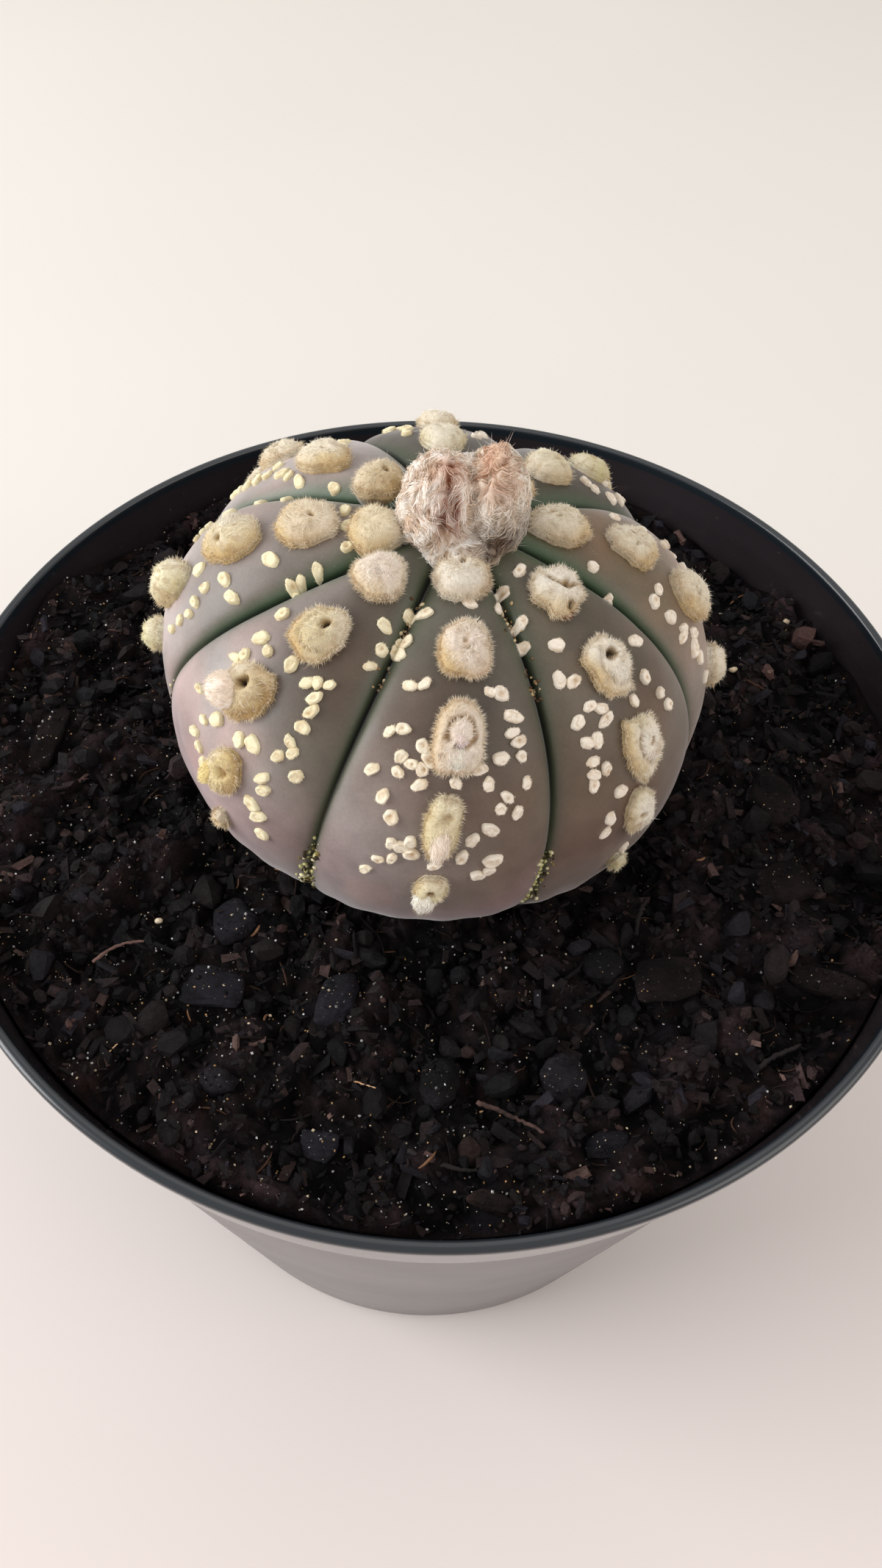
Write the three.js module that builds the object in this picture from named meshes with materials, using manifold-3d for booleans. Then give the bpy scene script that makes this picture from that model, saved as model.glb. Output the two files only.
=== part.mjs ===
// A ribbed, woolly sand dollar cactus growing in a round plastic nursery pot.
// Millimetres, +Z up. Origin at the middle of the pot's base, on the surface it stands on.
// -Y is the side with the two long straight grooves and the white-centred areoles.
import * as THREE from "three";
import { mergeVertices } from "three/addons/utils/BufferGeometryUtils.js";
import Module from "manifold-3d";

// ---------------------------------------------------------------- driving dimensions
const POT_HEIGHT = 100.7; // floor to the top of the lip
const RIM_RADIUS = 60; // widest point of the rounded lip
const LIP_DROP = 2.1; // underside of the lip below its top
const COLLAR_RADIUS = 58.9; // upright band under the lip
const COLLAR_DROP = 11.3; // lower edge of that band below the lip's top
const WALL_TOP_RADIUS = 57.6; // tapered wall, just under the collar
const WALL_FOOT_RADIUS = 45.4; // tapered wall, at the foot
const WALL = 1.3; // wall thickness
const FOOT_RISE = 1.8; // the base panel stands this far above the foot ring
const FLOOR_TOP = 3.4; // inside floor of the pot
const PAD_RADIUS = 11; // flat centre pad of the base, level with the foot ring
const DRAIN_RADIUS = 4; // drainage holes in the base
const DRAIN_RING = 31;
const DRAIN_COUNT = 8;
const NOTCH_COUNT = 4; // water gaps through the foot ring
const POT_SIDES = 64;

const CLEARANCE = 0.3; // air between neighbouring pieces
const SOIL_LEVEL = POT_HEIGHT - 5.4; // mean top of the soil

const BODY_RADIUS = 30.1; // cactus, at its widest
const BODY_UP = 22.0; // its crown above the widest level
const BODY_DOWN = 18.5; // its underside below the widest level
const BODY_SQUARE = 2.36; // superellipse exponent of its outline
const BODY_CENTRE = new THREE.Vector3(-1.1, 1.0, POT_HEIGHT + 11.8);
const BODY_AXIS = new THREE.Vector3(0.081, -0.053, 1).normalize(); // it leans a little
const BACK_DROP = 2.3; // the ribs on the far side sit lower
// Azimuths of the eight grooves, in degrees, and how far each drifts per degree of latitude.
const GROOVES = [-16.6, 32, 74, 118, 161, 202.5, 248.2, 296.4];
const DRIFT = [0.02, 0, 0, 0, 0, -0.18, -0.05, -0.02];
// Root below the body: radius and height along the axis.
const ROOT = [
  [9.0, -21],
  [7.6, -28],
  [4.6, -37],
  [2.0, -43],
];
const ROOT_TIP = -45;

// Areoles: latitude from the crown in degrees, azimuth in degrees, half width, half length, height.
const AREOLES = [
  [10.9, 274.5, 2.9, 2.5, 2.3],
  [25.0, 275.0, 2.6, 3.0, 1.9],
  [43.5, 273.5, 2.3, 3.6, 1.6],
  [64.8, 271.5, 1.8, 3.6, 1.5],
  [84.5, 271.0, 1.7, 2.2, 1.5],
  [16.6, 227.0, 3.0, 2.7, 2.2],
  [32.9, 227.5, 2.9, 3.1, 1.9],
  [53.6, 225.5, 3.0, 3.2, 2.0],
  [75.6, 226.0, 2.1, 3.1, 1.7],
  [91.9, 226.0, 1.1, 1.4, 1.2],
  [19.5, 324.5, 2.8, 2.8, 2.1],
  [37.6, 319.5, 2.6, 3.2, 1.8],
  [58.6, 317.5, 2.4, 3.3, 1.7],
  [75.9, 314.0, 1.8, 2.8, 1.6],
  [92.7, 311.5, 1.0, 1.3, 1.2],
  [12.0, 195.5, 2.6, 2.4, 2.1],
  [25.2, 183.5, 2.8, 3.0, 2.0],
  [43.5, 182.0, 2.7, 3.1, 2.0],
  [67.5, 182.0, 2.5, 3.1, 1.8],
  [83.8, 185.0, 1.6, 1.9, 1.5],
  [15.6, 8.0, 2.8, 2.7, 2.2],
  [33.4, 7.0, 2.7, 3.1, 1.9],
  [52.7, 2.0, 2.5, 3.1, 1.9],
  [71.0, 4.0, 2.1, 2.9, 1.6],
  [88.0, 5.0, 1.4, 1.8, 1.3],
  [14.8, 148.0, 2.8, 2.7, 2.1],
  [31.4, 144.0, 2.8, 3.0, 2.0],
  [53.9, 140.5, 2.6, 3.1, 1.8],
  [74.0, 140.0, 2.1, 2.9, 1.6],
  [12.5, 52.0, 2.6, 2.4, 2.0],
  [25.7, 51.0, 2.8, 2.9, 2.0],
  [47.0, 49.0, 2.6, 3.1, 1.8],
  [66.0, 51.0, 2.2, 3.0, 1.7],
  [84.0, 52.0, 1.6, 2.2, 1.4],
  [10.8, 97.0, 2.6, 2.4, 2.1],
  [24.7, 97.5, 2.6, 3.0, 1.9],
  [43.5, 96.5, 2.5, 3.2, 1.8],
  [64.0, 96.0, 2.1, 3.1, 1.6],
  [83.0, 96.0, 1.6, 2.2, 1.4],
];

// Crown wool: two fused tufts. Centre x, y, height above the lip, and three radii.
const CROWN = [
  [-1.7, 0.1, 35.5, 4.7, 5.2, 6.3],
  [4.0, -0.1, 35.4, 4.1, 5.8, 6.9],
  [1.0, -0.3, 33.4, 6.0, 6.6, 3.6],
];

// Loose pieces on the soil: name, kind, x, y, length, width, thickness, turn in degrees, tilt, sunk depth, seed.
const NUGGETS = [
  ["bark_chip_flat", "slate", -23.5, -32.6, 9.4, 5.4, 2.4, 5, 6, 0.5, 1],
  ["bark_chip_upright", "slate", -9.9, -33.2, 7.0, 4.6, 2.6, 82, 8, 0.6, 2],
  ["bark_chip_side", "slate", -22.0, -24.4, 6.2, 5.0, 2.4, 40, -5, 0.5, 3],
  ["bark_chip_front", "slate", -10.4, -49.0, 5.0, 4.2, 2.0, -30, 4, 0.5, 4],
  ["bark_chip_right_front", "slate", 18.2, -47.4, 5.0, 3.0, 1.8, 8, 5, 0.4, 5],
  ["bark_chip_brown", "bark", 26.0, -28.6, 9.6, 5.8, 2.6, 24, 5, 0.5, 6],
  ["bark_chip_long", "bark", 44.2, -28.4, 9.6, 4.0, 2.0, -16, 4, 0.4, 7],
  ["bark_chip_right", "bark", 41.0, -15.2, 7.6, 7.0, 2.8, 30, -4, 0.7, 8],
  ["bark_chip_far_right", "bark", 40.6, -3.4, 8.0, 7.4, 3.0, 75, 5, 0.8, 9],
  ["bark_lump_left", "bark", -48.6, -0.5, 11.0, 4.6, 3.2, 84, 0, 0.8, 10],
  ["bark_chip_rusty", "rust", 6.7, -53.8, 5.0, 2.6, 1.8, -12, 4, 0.4, 11],
  ["pebble_oval", "pebble", 1.3, -42.0, 6.0, 4.6, 3.2, 82, 0, 0.9, 12],
  ["pebble_right", "pebble", 18.9, -27.6, 4.8, 4.5, 3.0, 20, 0, 0.8, 13],
  ["pebble_middle", "pebble", 14.2, -40.6, 6.0, 5.0, 3.0, 78, 0, 0.9, 14],
  ["pebble_small", "pebble", 36.2, -30.9, 3.1, 2.6, 2.2, 90, 0, 0.5, 15],
  ["pebble_pair_left", "pebble", -21.3, -43.0, 4.4, 3.4, 2.8, -30, 0, 0.7, 16],
  ["grain_pale_left", "grain", -30.6, -24.8, 1.5, 1.2, 1.2, 10, 0, 0.1, 17],
  ["grain_pale_back", "grain", 47.0, 27.5, 1.9, 1.6, 1.5, 40, 0, 0.1, 18],
  ["grain_pale_right", "grain", 38.5, 17.9, 2.2, 1.4, 1.4, 15, 0, 0.1, 19],
];

// Twigs and straws: name, kind, x, y, length, radius, turn in degrees, rise at the end, bend.
const TWIGS = [
  ["twig_front", "twig", 8.6, -45.4, 7.4, 0.55, -22, 0.5, 0.4],
  ["twig_dark", "twig_dark", 2.0, -50.0, 7.4, 0.5, -14, 0.3, -0.5],
  ["twig_right", "twig_dark", 37.0, -37.4, 6.2, 0.55, 30, 0.4, 0.3],
  ["twig_upright", "twig_dark", 23.4, -21.6, 4.6, 0.5, 72, 0.8, 0.3],
  ["root_strand_left", "twig", -34.2, -29.0, 5.8, 0.45, 24, 0.5, 0.7],
  ["straw_left", "straw", -33.0, -40.6, 2.6, 0.28, 53, 0.2, 0],
  ["straw_front", "straw", -6.4, -42.4, 2.6, 0.28, -20, 0.2, 0],
];

// ---------------------------------------------------------------- solids
const wasm = await Module();
wasm.setup();

function toSolid(geometry) {
  const g = geometry.index ? geometry.toNonIndexed() : geometry.clone();
  for (const name of Object.keys(g.attributes))
    if (name !== "position") g.deleteAttribute(name);
  const m = mergeVertices(g, 1e-4);
  return new wasm.Manifold(
    new wasm.Mesh({
      numProp: 3,
      vertProperties: new Float32Array(m.attributes.position.array),
      triVerts: new Uint32Array(m.index.array),
    }),
  );
}

function toGeometry(solid) {
  const m = solid.getMesh();
  const n = m.numProp;
  const v = new Float32Array(m.numVert * 3);
  for (let i = 0; i < m.numVert; i++)
    v.set(m.vertProperties.subarray(i * n, i * n + 3), i * 3);
  const g = new THREE.BufferGeometry();
  g.setAttribute("position", new THREE.BufferAttribute(v, 3));
  g.setIndex(new THREE.BufferAttribute(new Uint32Array(m.triVerts), 1));
  g.computeVertexNormals();
  return g;
}

// A closed body from rings of points, highest first, with a point at each end.
function ringed(top, rings, bottom) {
  const n = rings[0].length;
  const v = [top, ...rings.flat(), bottom];
  const pos = new Float32Array(v.length * 3);
  v.forEach((p, i) => pos.set([p.x, p.y, p.z], i * 3));
  const at = (i, j) => 1 + i * n + (j % n);
  const tri = [];
  for (let j = 0; j < n; j++) tri.push(0, at(0, j), at(0, j + 1));
  for (let i = 0; i + 1 < rings.length; i++)
    for (let j = 0; j < n; j++) {
      tri.push(at(i, j), at(i + 1, j), at(i + 1, j + 1));
      tri.push(at(i, j), at(i + 1, j + 1), at(i, j + 1));
    }
  const last = v.length - 1;
  for (let j = 0; j < n; j++)
    tri.push(last, at(rings.length - 1, j + 1), at(rings.length - 1, j));
  const g = new THREE.BufferGeometry();
  g.setAttribute("position", new THREE.BufferAttribute(pos, 3));
  g.setIndex(tri);
  return g;
}

const rad = (d) => (d * Math.PI) / 180;
const clamp = (v, lo, hi) => Math.min(hi, Math.max(lo, v));
function table(x, xs, ys) {
  if (x <= xs[0]) return ys[0];
  for (let i = 1; i < xs.length; i++)
    if (x <= xs[i])
      return ys[i - 1] + ((ys[i] - ys[i - 1]) * (x - xs[i - 1])) / (xs[i] - xs[i - 1]);
  return ys[ys.length - 1];
}

// ---------------------------------------------------------------- pot
const H = POT_HEIGHT;
const wallRadius = (z) =>
  WALL_FOOT_RADIUS +
  ((WALL_TOP_RADIUS - WALL_FOOT_RADIUS) * (z - 1.2)) / (H - COLLAR_DROP - 0.8 - 1.2);

const insideWall = [
  [57.9, H - 1.5],
  [57.35, H - COLLAR_DROP],
  [wallRadius(H - 13) - WALL, H - 13],
  [wallRadius(5) - WALL, 5],
  [wallRadius(5) - WALL - 1.1, FLOOR_TOP],
];
const potProfile = [
  [0, 0],
  [PAD_RADIUS, 0],
  [PAD_RADIUS + 1.5, FOOT_RISE],
  [38.4, FOOT_RISE],
  [39.8, 0],
  [WALL_FOOT_RADIUS - 1.1, 0],
  [WALL_FOOT_RADIUS, 1.2],
  [WALL_TOP_RADIUS, H - COLLAR_DROP - 0.8],
  [COLLAR_RADIUS - 0.4, H - COLLAR_DROP],
  [COLLAR_RADIUS, H - LIP_DROP - 0.2],
  [RIM_RADIUS - 0.35, H - LIP_DROP],
  [RIM_RADIUS - 0.05, H - 1.65],
  [RIM_RADIUS, H - 1.0],
  [RIM_RADIUS - 0.3, H - 0.35],
  [RIM_RADIUS - 0.9, H],
  [RIM_RADIUS - 1.5, H],
  [RIM_RADIUS - 1.95, H - 0.45],
  ...insideWall,
  [PAD_RADIUS + 2, FLOOR_TOP],
  [PAD_RADIUS + 0.3, FLOOR_TOP - FOOT_RISE],
  [0, FLOOR_TOP - FOOT_RISE],
];

function lathe(profile) {
  return new THREE.LatheGeometry(
    profile.map(([r, z]) => new THREE.Vector2(r, z)),
    POT_SIDES,
  ).rotateX(Math.PI / 2);
}

let pot = toSolid(lathe(potProfile));
for (let i = 0; i < DRAIN_COUNT; i++) {
  const a = rad((360 / DRAIN_COUNT) * (i + 0.5));
  const hole = new THREE.CylinderGeometry(DRAIN_RADIUS, DRAIN_RADIUS, 8, 16)
    .rotateX(Math.PI / 2)
    .translate(DRAIN_RING * Math.cos(a), DRAIN_RING * Math.sin(a), 2);
  pot = pot.subtract(toSolid(hole));
}
for (let i = 0; i < NOTCH_COUNT; i++) {
  const a = (360 / NOTCH_COUNT) * i;
  const notch = new THREE.BoxGeometry(10, 6, 2.4)
    .translate(42.5, 0, 0)
    .rotateZ(rad(a));
  pot = pot.subtract(toSolid(notch));
}

// ---------------------------------------------------------------- cactus
// A point of the body at a latitude (degrees from the crown) and azimuth, pushed out by off.
const axisX = new THREE.Vector3().crossVectors(new THREE.Vector3(0, 1, 0), BODY_AXIS).normalize();
const axisY = new THREE.Vector3().crossVectors(BODY_AXIS, axisX);

function meridian(lat) {
  const s = Math.abs(Math.sin(rad(lat)));
  const c = Math.cos(rad(lat));
  return [
    BODY_RADIUS * s ** (2 / BODY_SQUARE),
    (c >= 0 ? BODY_UP : -BODY_DOWN) * Math.abs(c) ** (2 / BODY_SQUARE),
  ];
}
const GROOVE_LAT = [0, 6, 18, 40, 70, 95, 120, 150, 180];
const GROOVE_DEPTH = [0.0, 0.5, 1.9, 2.5, 2.3, 1.5, 0.8, 0.5, 0.2];

function ribOf(az) {
  const t = ((((az - GROOVES[0]) % 360) + 360) % 360) + GROOVES[0];
  let i = 7;
  while (i > 0 && t < GROOVES[i]) i--;
  const lo = GROOVES[i];
  const hi = i === 7 ? GROOVES[0] + 360 : GROOVES[i + 1];
  const u = (t - lo) / (hi - lo);
  return { from_groove: 1 - Math.abs(2 * u - 1), width: hi - lo, u, i };
}
function driftOf(az) {
  const { i, u } = ribOf(az);
  return DRIFT[i] * (1 - u) + DRIFT[(i + 1) % 8] * u;
}
// az here is the rib's own azimuth: a groove keeps one value all the way down.
function frameAt(az, lat) {
  const a = rad(az + driftOf(az) * (clamp(lat, 20, 110) - 55));
  return new THREE.Vector3()
    .addScaledVector(axisX, Math.cos(a))
    .addScaledVector(axisY, Math.sin(a));
}
function bodyPoint(lat, az, off = 0) {
  const [r, h] = meridian(lat);
  const [r1, h1] = meridian(Math.max(lat - 0.1, 0.01));
  const [r2, h2] = meridian(Math.min(lat + 0.1, 179.9));
  const len = Math.hypot(r2 - r1, h2 - h1);
  const nr = -(h2 - h1) / len;
  const nh = (r2 - r1) / len;
  const { from_groove, width } = ribOf(az);
  const depth = table(lat, GROOVE_LAT, GROOVE_DEPTH);
  const along = ((r * rad(width)) / 2) * from_groove;
  const a = rad(az + driftOf(az) * (clamp(lat, 20, 110) - 55));
  const k =
    off -
    depth * (1 - from_groove) ** 2.2 -
    Math.min(depth * 0.35, 0.8) * Math.exp(-along / 0.7) -
    BACK_DROP * clamp(Math.sin(a), 0, 1) ** 1.3 * Math.sin(rad(lat));
  return BODY_CENTRE.clone()
    .addScaledVector(BODY_AXIS, h + nh * k)
    .addScaledVector(frameAt(az, lat), r + nr * k);
}
// Steps across one rib, closer together beside the grooves.
const ACROSS = [0, 0.05, 0.18, 0.38, 0.62, 0.82, 0.95];
const LATITUDES = [7, 15, 24, 35, 47, 59, 71, 83, 95, 108, 122, 137];

function bodySolid(off) {
  const azimuths = [];
  for (let i = 0; i < 8; i++) {
    const lo = GROOVES[i];
    const hi = i === 7 ? GROOVES[0] + 360 : GROOVES[i + 1];
    for (const u of ACROSS) azimuths.push(lo + (hi - lo) * u);
  }
  const rings = LATITUDES.map((lat) => azimuths.map((az) => bodyPoint(lat, az, off)));
  for (const [r, h] of ROOT)
    rings.push(
      azimuths.map((az) =>
        BODY_CENTRE.clone()
          .addScaledVector(BODY_AXIS, h - off)
          .addScaledVector(frameAt(az, 110), r + off),
      ),
    );
  const top = BODY_CENTRE.clone().addScaledVector(BODY_AXIS, BODY_UP + off);
  const tip = BODY_CENTRE.clone().addScaledVector(BODY_AXIS, ROOT_TIP - off);
  return toSolid(ringed(top, rings, tip));
}

// A felted cushion sitting on the body: a flattened ball squared to the surface.
function cushion([lat, az, halfWidth, halfLength, height]) {
  const rib = az - driftOf(az) * (clamp(lat, 20, 110) - 55);
  const p = bodyPoint(lat, rib);
  const down = bodyPoint(lat + 1, rib).sub(bodyPoint(lat - 1, rib)).normalize();
  const side = bodyPoint(lat, rib + 1.5).sub(bodyPoint(lat, rib - 1.5)).normalize();
  const out = new THREE.Vector3().crossVectors(down, side).normalize();
  side.crossVectors(out, down).normalize();
  const m = new THREE.Matrix4().makeBasis(side, down.clone().negate(), out);
  const sunk = 0.7;
  const g = new THREE.SphereGeometry(1, 8, 5)
    .rotateX(Math.PI / 2)
    .scale(halfWidth, halfLength, height + sunk)
    .applyMatrix4(m)
    .translate(p.x - out.x * sunk, p.y - out.y * sunk, p.z - out.z * sunk);
  return toSolid(g);
}

let cactus = bodySolid(0);
for (const a of AREOLES) cactus = cactus.add(cushion(a));
for (const [x, y, z, rx, ry, rz] of CROWN)
  cactus = cactus.add(
    toSolid(
      new THREE.SphereGeometry(1, 12, 8)
        .rotateX(Math.PI / 2)
        .scale(rx, ry, rz)
        .translate(x, y, H + z),
    ),
  );

// ---------------------------------------------------------------- soil
const bump = (x, y, cx, cy, r, h) =>
  h * Math.exp(-((x - cx) ** 2 + (y - cy) ** 2) / (r * r));
function soilTop(x, y) {
  return (
    SOIL_LEVEL +
    bump(x, y, 0, 0, 24, 1.6) -
    0.018 * x -
    0.01 * y +
    bump(x, y, -52, 23, 7, 2.8) -
    bump(x, y, -40, 37, 7, 2.2) -
    bump(x, y, 40, 40, 10, 2.0) +
    0.45 * Math.sin(0.31 * x + 0.9) * Math.cos(0.27 * y - 0.4) +
    0.25 * Math.sin(0.63 * x - 0.5 * y + 1.7)
  );
}
const insideRadius = (z) =>
  table(
    z,
    insideWall.map((p) => p[1]).reverse(),
    insideWall.map((p) => p[0]).reverse(),
  );

function soilSolid() {
  const n = POT_SIDES;
  const angle = (j) => (2 * Math.PI * j) / n;
  const rings = [];
  for (const f of [0.3, 0.46, 0.6, 0.72, 0.83, 0.92])
    rings.push(
      Array.from({ length: n }, (_, j) => {
        const x = 57 * f * Math.cos(angle(j));
        const y = 57 * f * Math.sin(angle(j));
        return new THREE.Vector3(x, y, soilTop(x, y));
      }),
    );
  rings.push(
    Array.from({ length: n }, (_, j) => {
      const x = 57 * Math.cos(angle(j));
      const y = 57 * Math.sin(angle(j));
      const z = soilTop(x, y);
      const r = insideRadius(z) - CLEARANCE;
      return new THREE.Vector3(r * Math.cos(angle(j)), r * Math.sin(angle(j)), z);
    }),
  );
  const side = [
    [57.35 - CLEARANCE, H - COLLAR_DROP],
    [wallRadius(H - 13) - WALL - CLEARANCE, H - 13.2],
    [wallRadius(5.2) - WALL - CLEARANCE, 5.2],
    [wallRadius(5) - WALL - 1.1 - CLEARANCE, FLOOR_TOP + CLEARANCE],
    [PAD_RADIUS + 1.8, FLOOR_TOP + CLEARANCE],
    [PAD_RADIUS, FLOOR_TOP - FOOT_RISE + CLEARANCE],
  ];
  for (const [r, z] of side)
    rings.push(
      Array.from(
        { length: n },
        (_, j) => new THREE.Vector3(r * Math.cos(angle(j)), r * Math.sin(angle(j)), z),
      ),
    );
  return toSolid(
    ringed(
      new THREE.Vector3(0, 0, soilTop(0, 0)),
      rings,
      new THREE.Vector3(0, 0, FLOOR_TOP - FOOT_RISE + CLEARANCE),
    ),
  );
}

// ---------------------------------------------------------------- loose pieces
const wobble = (seed, i, j) => {
  const s = Math.sin(seed * 127.1 + i * 311.7 + j * 74.7) * 43758.5453;
  return s - Math.floor(s);
};
// Chips are angular slabs, pebbles and grains are round.
const SHAPE = {
  slate: { rough: 0.2, square: 3.4 },
  bark: { rough: 0.24, square: 3.0 },
  rust: { rough: 0.26, square: 2.6 },
  pebble: { rough: 0.05, square: 2.1 },
  grain: { rough: 0.1, square: 2.1 },
};
function nugget([, kind, x, y, length, width, thick, turn, tilt, sunk, seed], grow = 0) {
  const { rough, square } = SHAPE[kind];
  const n = 8;
  const power = (v) => Math.sign(v) * Math.abs(v) ** (2 / square);
  const rings = [-0.74, -0.22, 0.3, 0.78].map((t, i) =>
    Array.from({ length: n }, (_, j) => {
      const a = (2 * Math.PI * (j + 0.3 * (i % 2))) / n;
      const k = (1 - rough / 2 + rough * (wobble(seed, 0, j) * 0.8 + wobble(seed, i, j) * 0.2)) *
        Math.sqrt(1 - t * t * 0.72);
      return new THREE.Vector3(
        (length / 2) * k * power(Math.cos(a)),
        (width / 2) * k * power(Math.sin(a)),
        (-t * thick) / 2,
      );
    }),
  );
  const g = ringed(
    new THREE.Vector3(0, 0, thick / 2),
    rings,
    new THREE.Vector3(0, 0, -thick / 2),
  );
  if (grow)
    g.scale(
      (length + 2 * grow + 0.25) / length,
      (width + 2 * grow + 0.25) / width,
      (thick + 2 * grow + 0.15) / thick,
    );
  return g
    .rotateX(rad(tilt))
    .rotateZ(rad(turn))
    .translate(x, y, soilTop(x, y) + thick / 2 - sunk - thick * 0.2);
}
function twig([, , x, y, length, radius, turn, rise, bend], grow = 0) {
  const section = new THREE.Shape(
    Array.from({ length: 6 }, (_, i) => {
      const a = (Math.PI / 3) * i;
      return new THREE.Vector2((radius + grow) * Math.cos(a), (radius + grow) * Math.sin(a));
    }),
  );
  const c = Math.cos(rad(turn));
  const s = Math.sin(rad(turn));
  const at = (t, side) => {
    const px = x + c * t - s * side;
    const py = y + s * t + c * side;
    return new THREE.Vector3(px, py, soilTop(px, py) + radius * 0.5 + (rise * (t + length / 2)) / length);
  };
  const half = length / 2 + grow;
  const path = new THREE.CatmullRomCurve3([at(-half, 0), at(0, bend), at(half, 0)]);
  return new THREE.ExtrudeGeometry(section, { steps: 3, extrudePath: path, bevelEnabled: false });
}

let soil = soilSolid().subtract(bodySolid(CLEARANCE + 0.05));
for (const n of NUGGETS) soil = soil.subtract(toSolid(nugget(n, CLEARANCE)));
for (const t of TWIGS) soil = soil.subtract(toSolid(twig(t, CLEARANCE)));
// Crumbs cut free by the pockets are left out.
const pieces = soil.decompose();
soil = pieces.reduce((a, b) => (b.volume() > a.volume() ? b : a));

// ---------------------------------------------------------------- assembly
const FINISH = {
  pot: { color: 0x2b3437, roughness: 0.32, metalness: 0 },
  soil: { color: 0x17120f, roughness: 0.95, metalness: 0 },
  cactus: { color: 0x7c7471, roughness: 0.6, metalness: 0 },
  slate: { color: 0x2c2e33, roughness: 0.8, metalness: 0 },
  bark: { color: 0x2b211d, roughness: 0.9, metalness: 0 },
  rust: { color: 0x4a342a, roughness: 0.9, metalness: 0 },
  pebble: { color: 0x2a2d30, roughness: 0.7, metalness: 0 },
  grain: { color: 0xcdb795, roughness: 0.6, metalness: 0 },
  twig: { color: 0x5a4133, roughness: 0.85, metalness: 0 },
  twig_dark: { color: 0x2a2320, roughness: 0.9, metalness: 0 },
  straw: { color: 0xb98a55, roughness: 0.7, metalness: 0 },
};
const plant = new THREE.Group();
function put(name, geometry, finish) {
  const mesh = new THREE.Mesh(geometry, new THREE.MeshStandardMaterial(FINISH[finish]));
  mesh.name = name;
  plant.add(mesh);
}
put("nursery_pot", toGeometry(pot), "pot");
put("potting_soil", toGeometry(soil), "soil");
put("cactus", toGeometry(cactus), "cactus");
for (const n of NUGGETS) put(n[0], nugget(n), n[1]);
for (const t of TWIGS) put(t[0], twig(t), t[1]);

export default plant;
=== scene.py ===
"""Potted ribbed sand dollar cactus: the looks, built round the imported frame. Blender 4.5.

Numbers are millimetres while the meshes are made, and metres in Blender. Origin at the
middle of the pot's base, +Z up, -Y is the front. Nothing is read from disk but the frame.
"""

import math

import bmesh
import bpy
import numpy as np
from mathutils import Matrix


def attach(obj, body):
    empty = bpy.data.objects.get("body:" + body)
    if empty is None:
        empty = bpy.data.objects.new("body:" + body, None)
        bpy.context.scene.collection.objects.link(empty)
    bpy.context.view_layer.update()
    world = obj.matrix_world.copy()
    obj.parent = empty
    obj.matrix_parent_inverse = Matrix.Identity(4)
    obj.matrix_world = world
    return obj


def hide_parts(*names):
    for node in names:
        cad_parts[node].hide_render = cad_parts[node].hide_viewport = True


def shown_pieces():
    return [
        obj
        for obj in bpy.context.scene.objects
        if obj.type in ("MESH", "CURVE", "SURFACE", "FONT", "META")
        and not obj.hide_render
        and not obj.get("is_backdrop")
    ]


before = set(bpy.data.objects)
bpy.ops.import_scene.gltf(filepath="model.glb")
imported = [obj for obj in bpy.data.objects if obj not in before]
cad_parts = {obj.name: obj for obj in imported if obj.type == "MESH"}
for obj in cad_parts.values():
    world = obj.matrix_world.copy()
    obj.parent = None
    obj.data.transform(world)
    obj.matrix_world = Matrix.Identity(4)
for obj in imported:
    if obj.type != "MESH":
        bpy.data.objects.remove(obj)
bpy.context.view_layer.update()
rng = np.random.default_rng(1772)
MM = 0.001
H = 100.7  # top of the pot's lip


# ------------------------------------------------------------------ numbers and noise
def rgb(r, g, b):
    """Linear colour of an sRGB triple."""
    c = np.array([r, g, b], float) / 255
    return np.where(c <= 0.04045, c / 12.92, ((c + 0.055) / 1.055) ** 2.4)


def unit(v):
    v = np.asarray(v, float)
    return v / np.maximum(np.linalg.norm(v, axis=-1, keepdims=True), 1e-12)


def smooth(x, a, b):
    t = np.clip((x - a) / (b - a), 0, 1)
    return t * t * (3 - 2 * t)


def blend(a, b, t):
    """Colours a and b mixed by t, where t has one value for each row."""
    t = np.asarray(t, float)[..., None]
    return a * (1 - t) + b * t


def lattice(ix, iy, iz, seed):
    h = (ix * 374761393 + iy * 668265263 + iz * 2246822519 + seed * 3266489917) & 0xFFFFFFFF
    h = ((h ^ (h >> 15)) * 2246822519) & 0xFFFFFFFF
    h = ((h ^ (h >> 13)) * 3266489917) & 0xFFFFFFFF
    return ((h ^ (h >> 16)) & 0xFFFFFFFF) / 4294967295.0


def noise(p, size, seed=0):
    """Value noise from -1 to 1, with features of about size."""
    q = np.asarray(p, float) / size
    i = np.floor(q).astype(np.int64)
    f = q - i
    f = f * f * f * (f * (f * 6 - 15) + 10)
    out = 0
    for dx in (0, 1):
        for dy in (0, 1):
            for dz in (0, 1):
                w = (
                    (f[:, 0] if dx else 1 - f[:, 0])
                    * (f[:, 1] if dy else 1 - f[:, 1])
                    * (f[:, 2] if dz else 1 - f[:, 2])
                )
                out = out + w * lattice(i[:, 0] + dx, i[:, 1] + dy, i[:, 2] + dz, seed)
    return out * 2 - 1


def fbm(p, size, octaves=3, seed=0, gain=0.5):
    out, amp, total = 0, 1.0, 0.0
    for k in range(octaves):
        out = out + amp * noise(p, size / 2**k, seed + 17 * k)
        total += amp
        amp *= gain
    return out / total


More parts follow.
